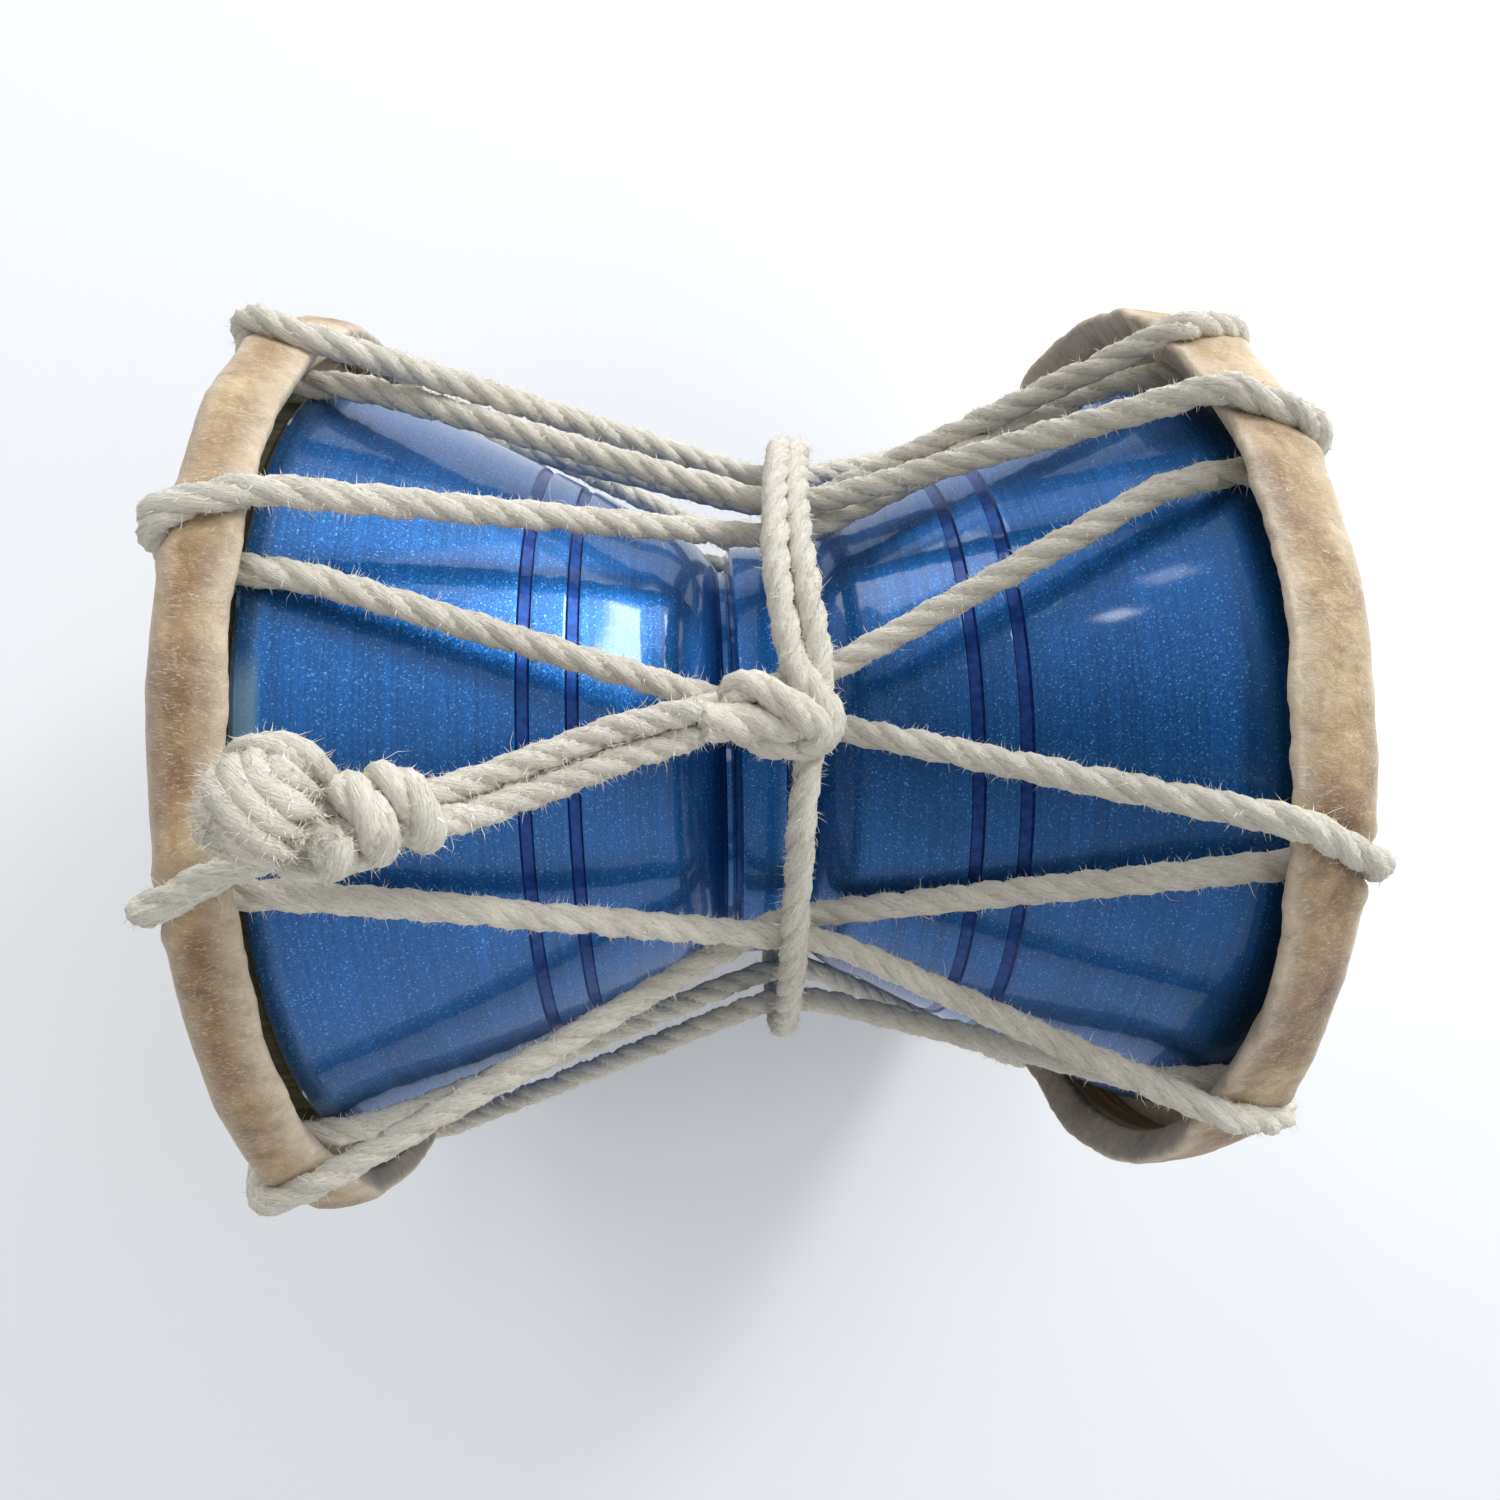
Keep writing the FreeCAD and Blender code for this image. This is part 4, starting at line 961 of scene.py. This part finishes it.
strands = plies(even_line, even_places, 2, STRAND_OFFSET, STRAND_LAY, 21, STRAND_PHASE)
for cord, cord_line in enumerate(strands):
    striker_parts += laid_cord(cord_line, seed=22 + cord, size=0.92, lay=9.5, hairs=KNOT_HAIRS)
striker = yarn_piece("striker_strands", striker_parts)


def wound(centre, way, radius, pitch, turns, begin):
    """Points of a wound knot round a way."""
    along = Vector(way).normalized()
    across = along.cross(Vector((0, 0, 1))).normalized()
    up = across.cross(along).normalized()
    points = []
    for step in range(round(turns * 12) + 1):
        angle = math.radians(begin) - 2 * math.pi * step / 12
        rise = along * (pitch * (step / 12 - turns / 2))
        points.append(centre + rise + across * (radius * math.cos(angle)) + up * (radius * math.sin(angle)))
    return points


def tuft(offset, begin, end, lift, seed, size=1.0):
    """Parts of one soft strand of unlaid yarn that lies over the end knot and thins to a tip."""
    radius = math.sqrt(END_KNOT_RADIUS ** 2 - 0.7 * offset ** 2) + lift
    points = []
    for step in range(9):
        turn = math.radians(begin + (end - begin) * step / 8)
        around = SWEEP * (radius * math.sin(turn)) + Vector((0, 0, radius * math.cos(turn)))
        points.append(END_KNOT + ACROSS * (offset + 0.3 * math.sin(turn * 2 + seed)) + around)
    line, places = evenly(smooth_line("tuft", points), 0.6)
    middle = np.tile(np.array(END_KNOT), (len(line), 1))
    tube = ply_tube(line, places, size, middle, seed * 3.3, 0.25)
    middles = np.repeat(line, PLY_SIDES, axis=0)
    return [tube] + fuzz(tube[0], middles, round(places[-1] * TUFT_HAIRS), 2.2, 300 + seed)


first_knot_way = Vector(STRIKER_ROUTE[5]) - Vector(STRIKER_ROUTE[3])
first_knot_wraps = wound(FIRST_KNOT, first_knot_way, radius=2.8, pitch=3.8, turns=2.25, begin=200)
first_knot = yarn_piece(
    "striker_first_knot",
    laid_cord(smooth_line("first_knot", first_knot_wraps), seed=31, size=1.16, lay=12.0, hairs=KNOT_HAIRS),
)
# Each tuft's place across the knot, its first and last angle over it, its lift and its radius
TUFTS = (
    (-3.6, -115, 55, 0.0, 1.15), (-2.2, -120, 78, 0.1, 1.2), (-0.6, -110, 66, 0.4, 1.25),
    (1.0, -120, 60, 0.3, 1.2), (2.5, -115, 72, 0.1, 1.2), (3.7, -100, 62, -0.3, 1.1),
    (-3.0, 100, 230, -0.9, 1.2), (-0.9, 95, 240, -0.7, 1.3), (1.2, 95, 240, -0.7, 1.3),
    (3.0, 100, 230, -0.9, 1.2),
)
BACK_LOBE = (
    (-45.6, -1.2, 62.6), (-44.0, 0.9, 63.4), (-41.4, 1.6, 64.0), (-38.6, 0.6, 63.2), (-37.4, -1.6, 61.6),
)
LOW_LOBE = (
    (-43.8, -6.8, 61.2), (-41.6, -8.0, 60.4), (-38.6, -8.2, 59.9), (-35.6, -7.4, 59.2), (-33.4, -6.2, 58.8),
)
end_parts = []
for seed, (offset, begin, end, lift, size) in enumerate(TUFTS):
    end_parts += tuft(offset, begin, end, lift, seed + 1, size)
end_parts += laid_cord(
    smooth_line("back_lobe", BACK_LOBE), seed=41, size=0.95, lay=14.0, hairs=KNOT_HAIRS, ends=0.4
)
end_parts += laid_cord(
    smooth_line("low_lobe", LOW_LOBE), seed=43, size=1.1, lay=16.0, hairs=KNOT_HAIRS, ends=0.5
)
end_knot = yarn_piece("striker_fuzzy_knot", end_parts)
for piece, node in ((striker, "striker_cord"), (first_knot, "striker_knot"), (end_knot, "striker_end_knot")):
    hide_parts(node)
    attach(piece, "striker")

# Floor, light and camera: a white table in a room with light walls before and behind it and a dark
# left corner. A low narrow window between curtains stands right behind, and its mirror image lies on
# the left bowl. A long lamp hangs overhead, and three small ones show as spots on the right bowl.
LEFT_SHOULDER = (-0.0147, 0.0138, 0.0886)
RIGHT_SHOULDER = (0.0166, 0.0195, 0.0866)
LOW_DRUM = (0, 0, 0.08)
UPRIGHT = (0, 0, 1)
CAMERA_PLACE = (-0.0078455, 0.0005074, AXIS + 0.1448559)
CAMERA_TURN = (-0.15964, -3.05919, -1.61154)
bpy.ops.object.select_all(action="DESELECT")
bpy.ops.mesh.primitive_plane_add(size=3.0, location=(0, 0, 0))
floor = bpy.context.object
floor.name = "floor"
paper, tree, shader = new_material("white_paper_floor")
shader.inputs["Base Color"].default_value = linear("#FBFBFB")
shader.inputs["Roughness"].default_value = 0.95
floor.data.materials.append(paper)


def soft_light(name, way, distance, width, height, power, target, upright):
    """A rectangular soft box in a direction from its target, facing it, with its height set upright."""
    lamp = bpy.data.lights.new(name, "AREA")
    lamp.shape = "RECTANGLE"
    lamp.size = width
    lamp.size_y = height
    lamp.energy = power
    lamp.color = linear("#F7FAFF")[:3]
    box = bpy.data.objects.new(name, lamp)
    back = Vector(way).normalized()
    across = Vector(upright).cross(back).normalized()
    box.location = Vector(target) + back * distance
    box.rotation_euler = Matrix((across, back.cross(across), back)).transposed().to_euler()
    bpy.context.collection.objects.link(box)


WINDOW_UPRIGHT = (0.247, -0.553, 0.796)
# Name, direction, distance, width, height, power, target and upright of each soft box
for lamp in (
    ("window", (0.7225, 0.642, 0.255), 0.6, 0.105, 0.275, 2.0, LEFT_SHOULDER, WINDOW_UPRIGHT),
    ("curtain", (0.6, 0.76, 0.22), 0.7, 0.36, 0.36, 0.9, LEFT_SHOULDER, UPRIGHT),
    ("far_curtain", (-0.477, 0.876, 0.1), 0.7, 0.25, 0.25, 0.8, RIGHT_SHOULDER, UPRIGHT),
    ("ceiling", (0, 0.25, 1), 1.1, 0.10, 0.8, 1.6, LOW_DRUM, (0, 1, 0)),
    ("near_lamp", (-0.401, 0.606, 0.687), 0.9, 0.045, 0.045, 0.10, (0.0364, 0.0131, 0.1007), UPRIGHT),
    ("middle_lamp", (-0.307, 0.73, 0.61), 0.9, 0.06, 0.06, 0.07, (0.0414, 0.0170, 0.1018), UPRIGHT),
    ("far_lamp", (-0.467, 0.697, 0.544), 0.9, 0.05, 0.05, 0.05, (0.029, 0.0147, 0.0963), UPRIGHT),
):
    soft_light(*lamp)

world = bpy.data.worlds.new("studio")
world.use_nodes = True
tree = world.node_tree
way_out = add_node(tree, "ShaderNodeTexCoord").outputs["Generated"]
toward = add_node(tree, "ShaderNodeSeparateXYZ", {0: way_out})
walls = add_node(tree, "ShaderNodeMath", {0: toward.outputs[1]}, operation="ABSOLUTE")
wall_light = add_node(tree, "ShaderNodeMapRange", {0: walls.outputs[0], 1: 0.0, 2: 1.0, 3: 0.12, 4: 1.0})
right_light = add_node(tree, "ShaderNodeMapRange", {0: toward.outputs[0], 1: 0.0, 2: 1.0, 3: 0.0, 4: 0.8})
back_light = add_node(tree, "ShaderNodeMapRange", {0: toward.outputs[1], 1: 0.1, 2: 1.0, 3: 0.0, 4: 0.35})
near_room = add_node(
    tree, "ShaderNodeMath", {0: wall_light.outputs[0], 1: right_light.outputs[0]}, operation="ADD"
)
room = add_node(tree, "ShaderNodeMath", {0: near_room.outputs[0], 1: back_light.outputs[0]}, operation="ADD")
tree.nodes["Background"].inputs["Color"].default_value = linear("#F1F5FA")
tree.links.new(room.outputs[0], tree.nodes["Background"].inputs["Strength"])
bpy.context.scene.world = world
bpy.context.scene.view_settings.view_transform = "Standard"

lens = bpy.data.cameras.new("camera")
lens.lens = 24.05
lens.sensor_width = 36.0
lens.clip_start = 0.005
camera = bpy.data.objects.new("camera", lens)
camera.location = CAMERA_PLACE
camera.rotation_euler = [math.radians(turn) for turn in CAMERA_TURN]
bpy.context.collection.objects.link(camera)
bpy.context.scene.camera = camera
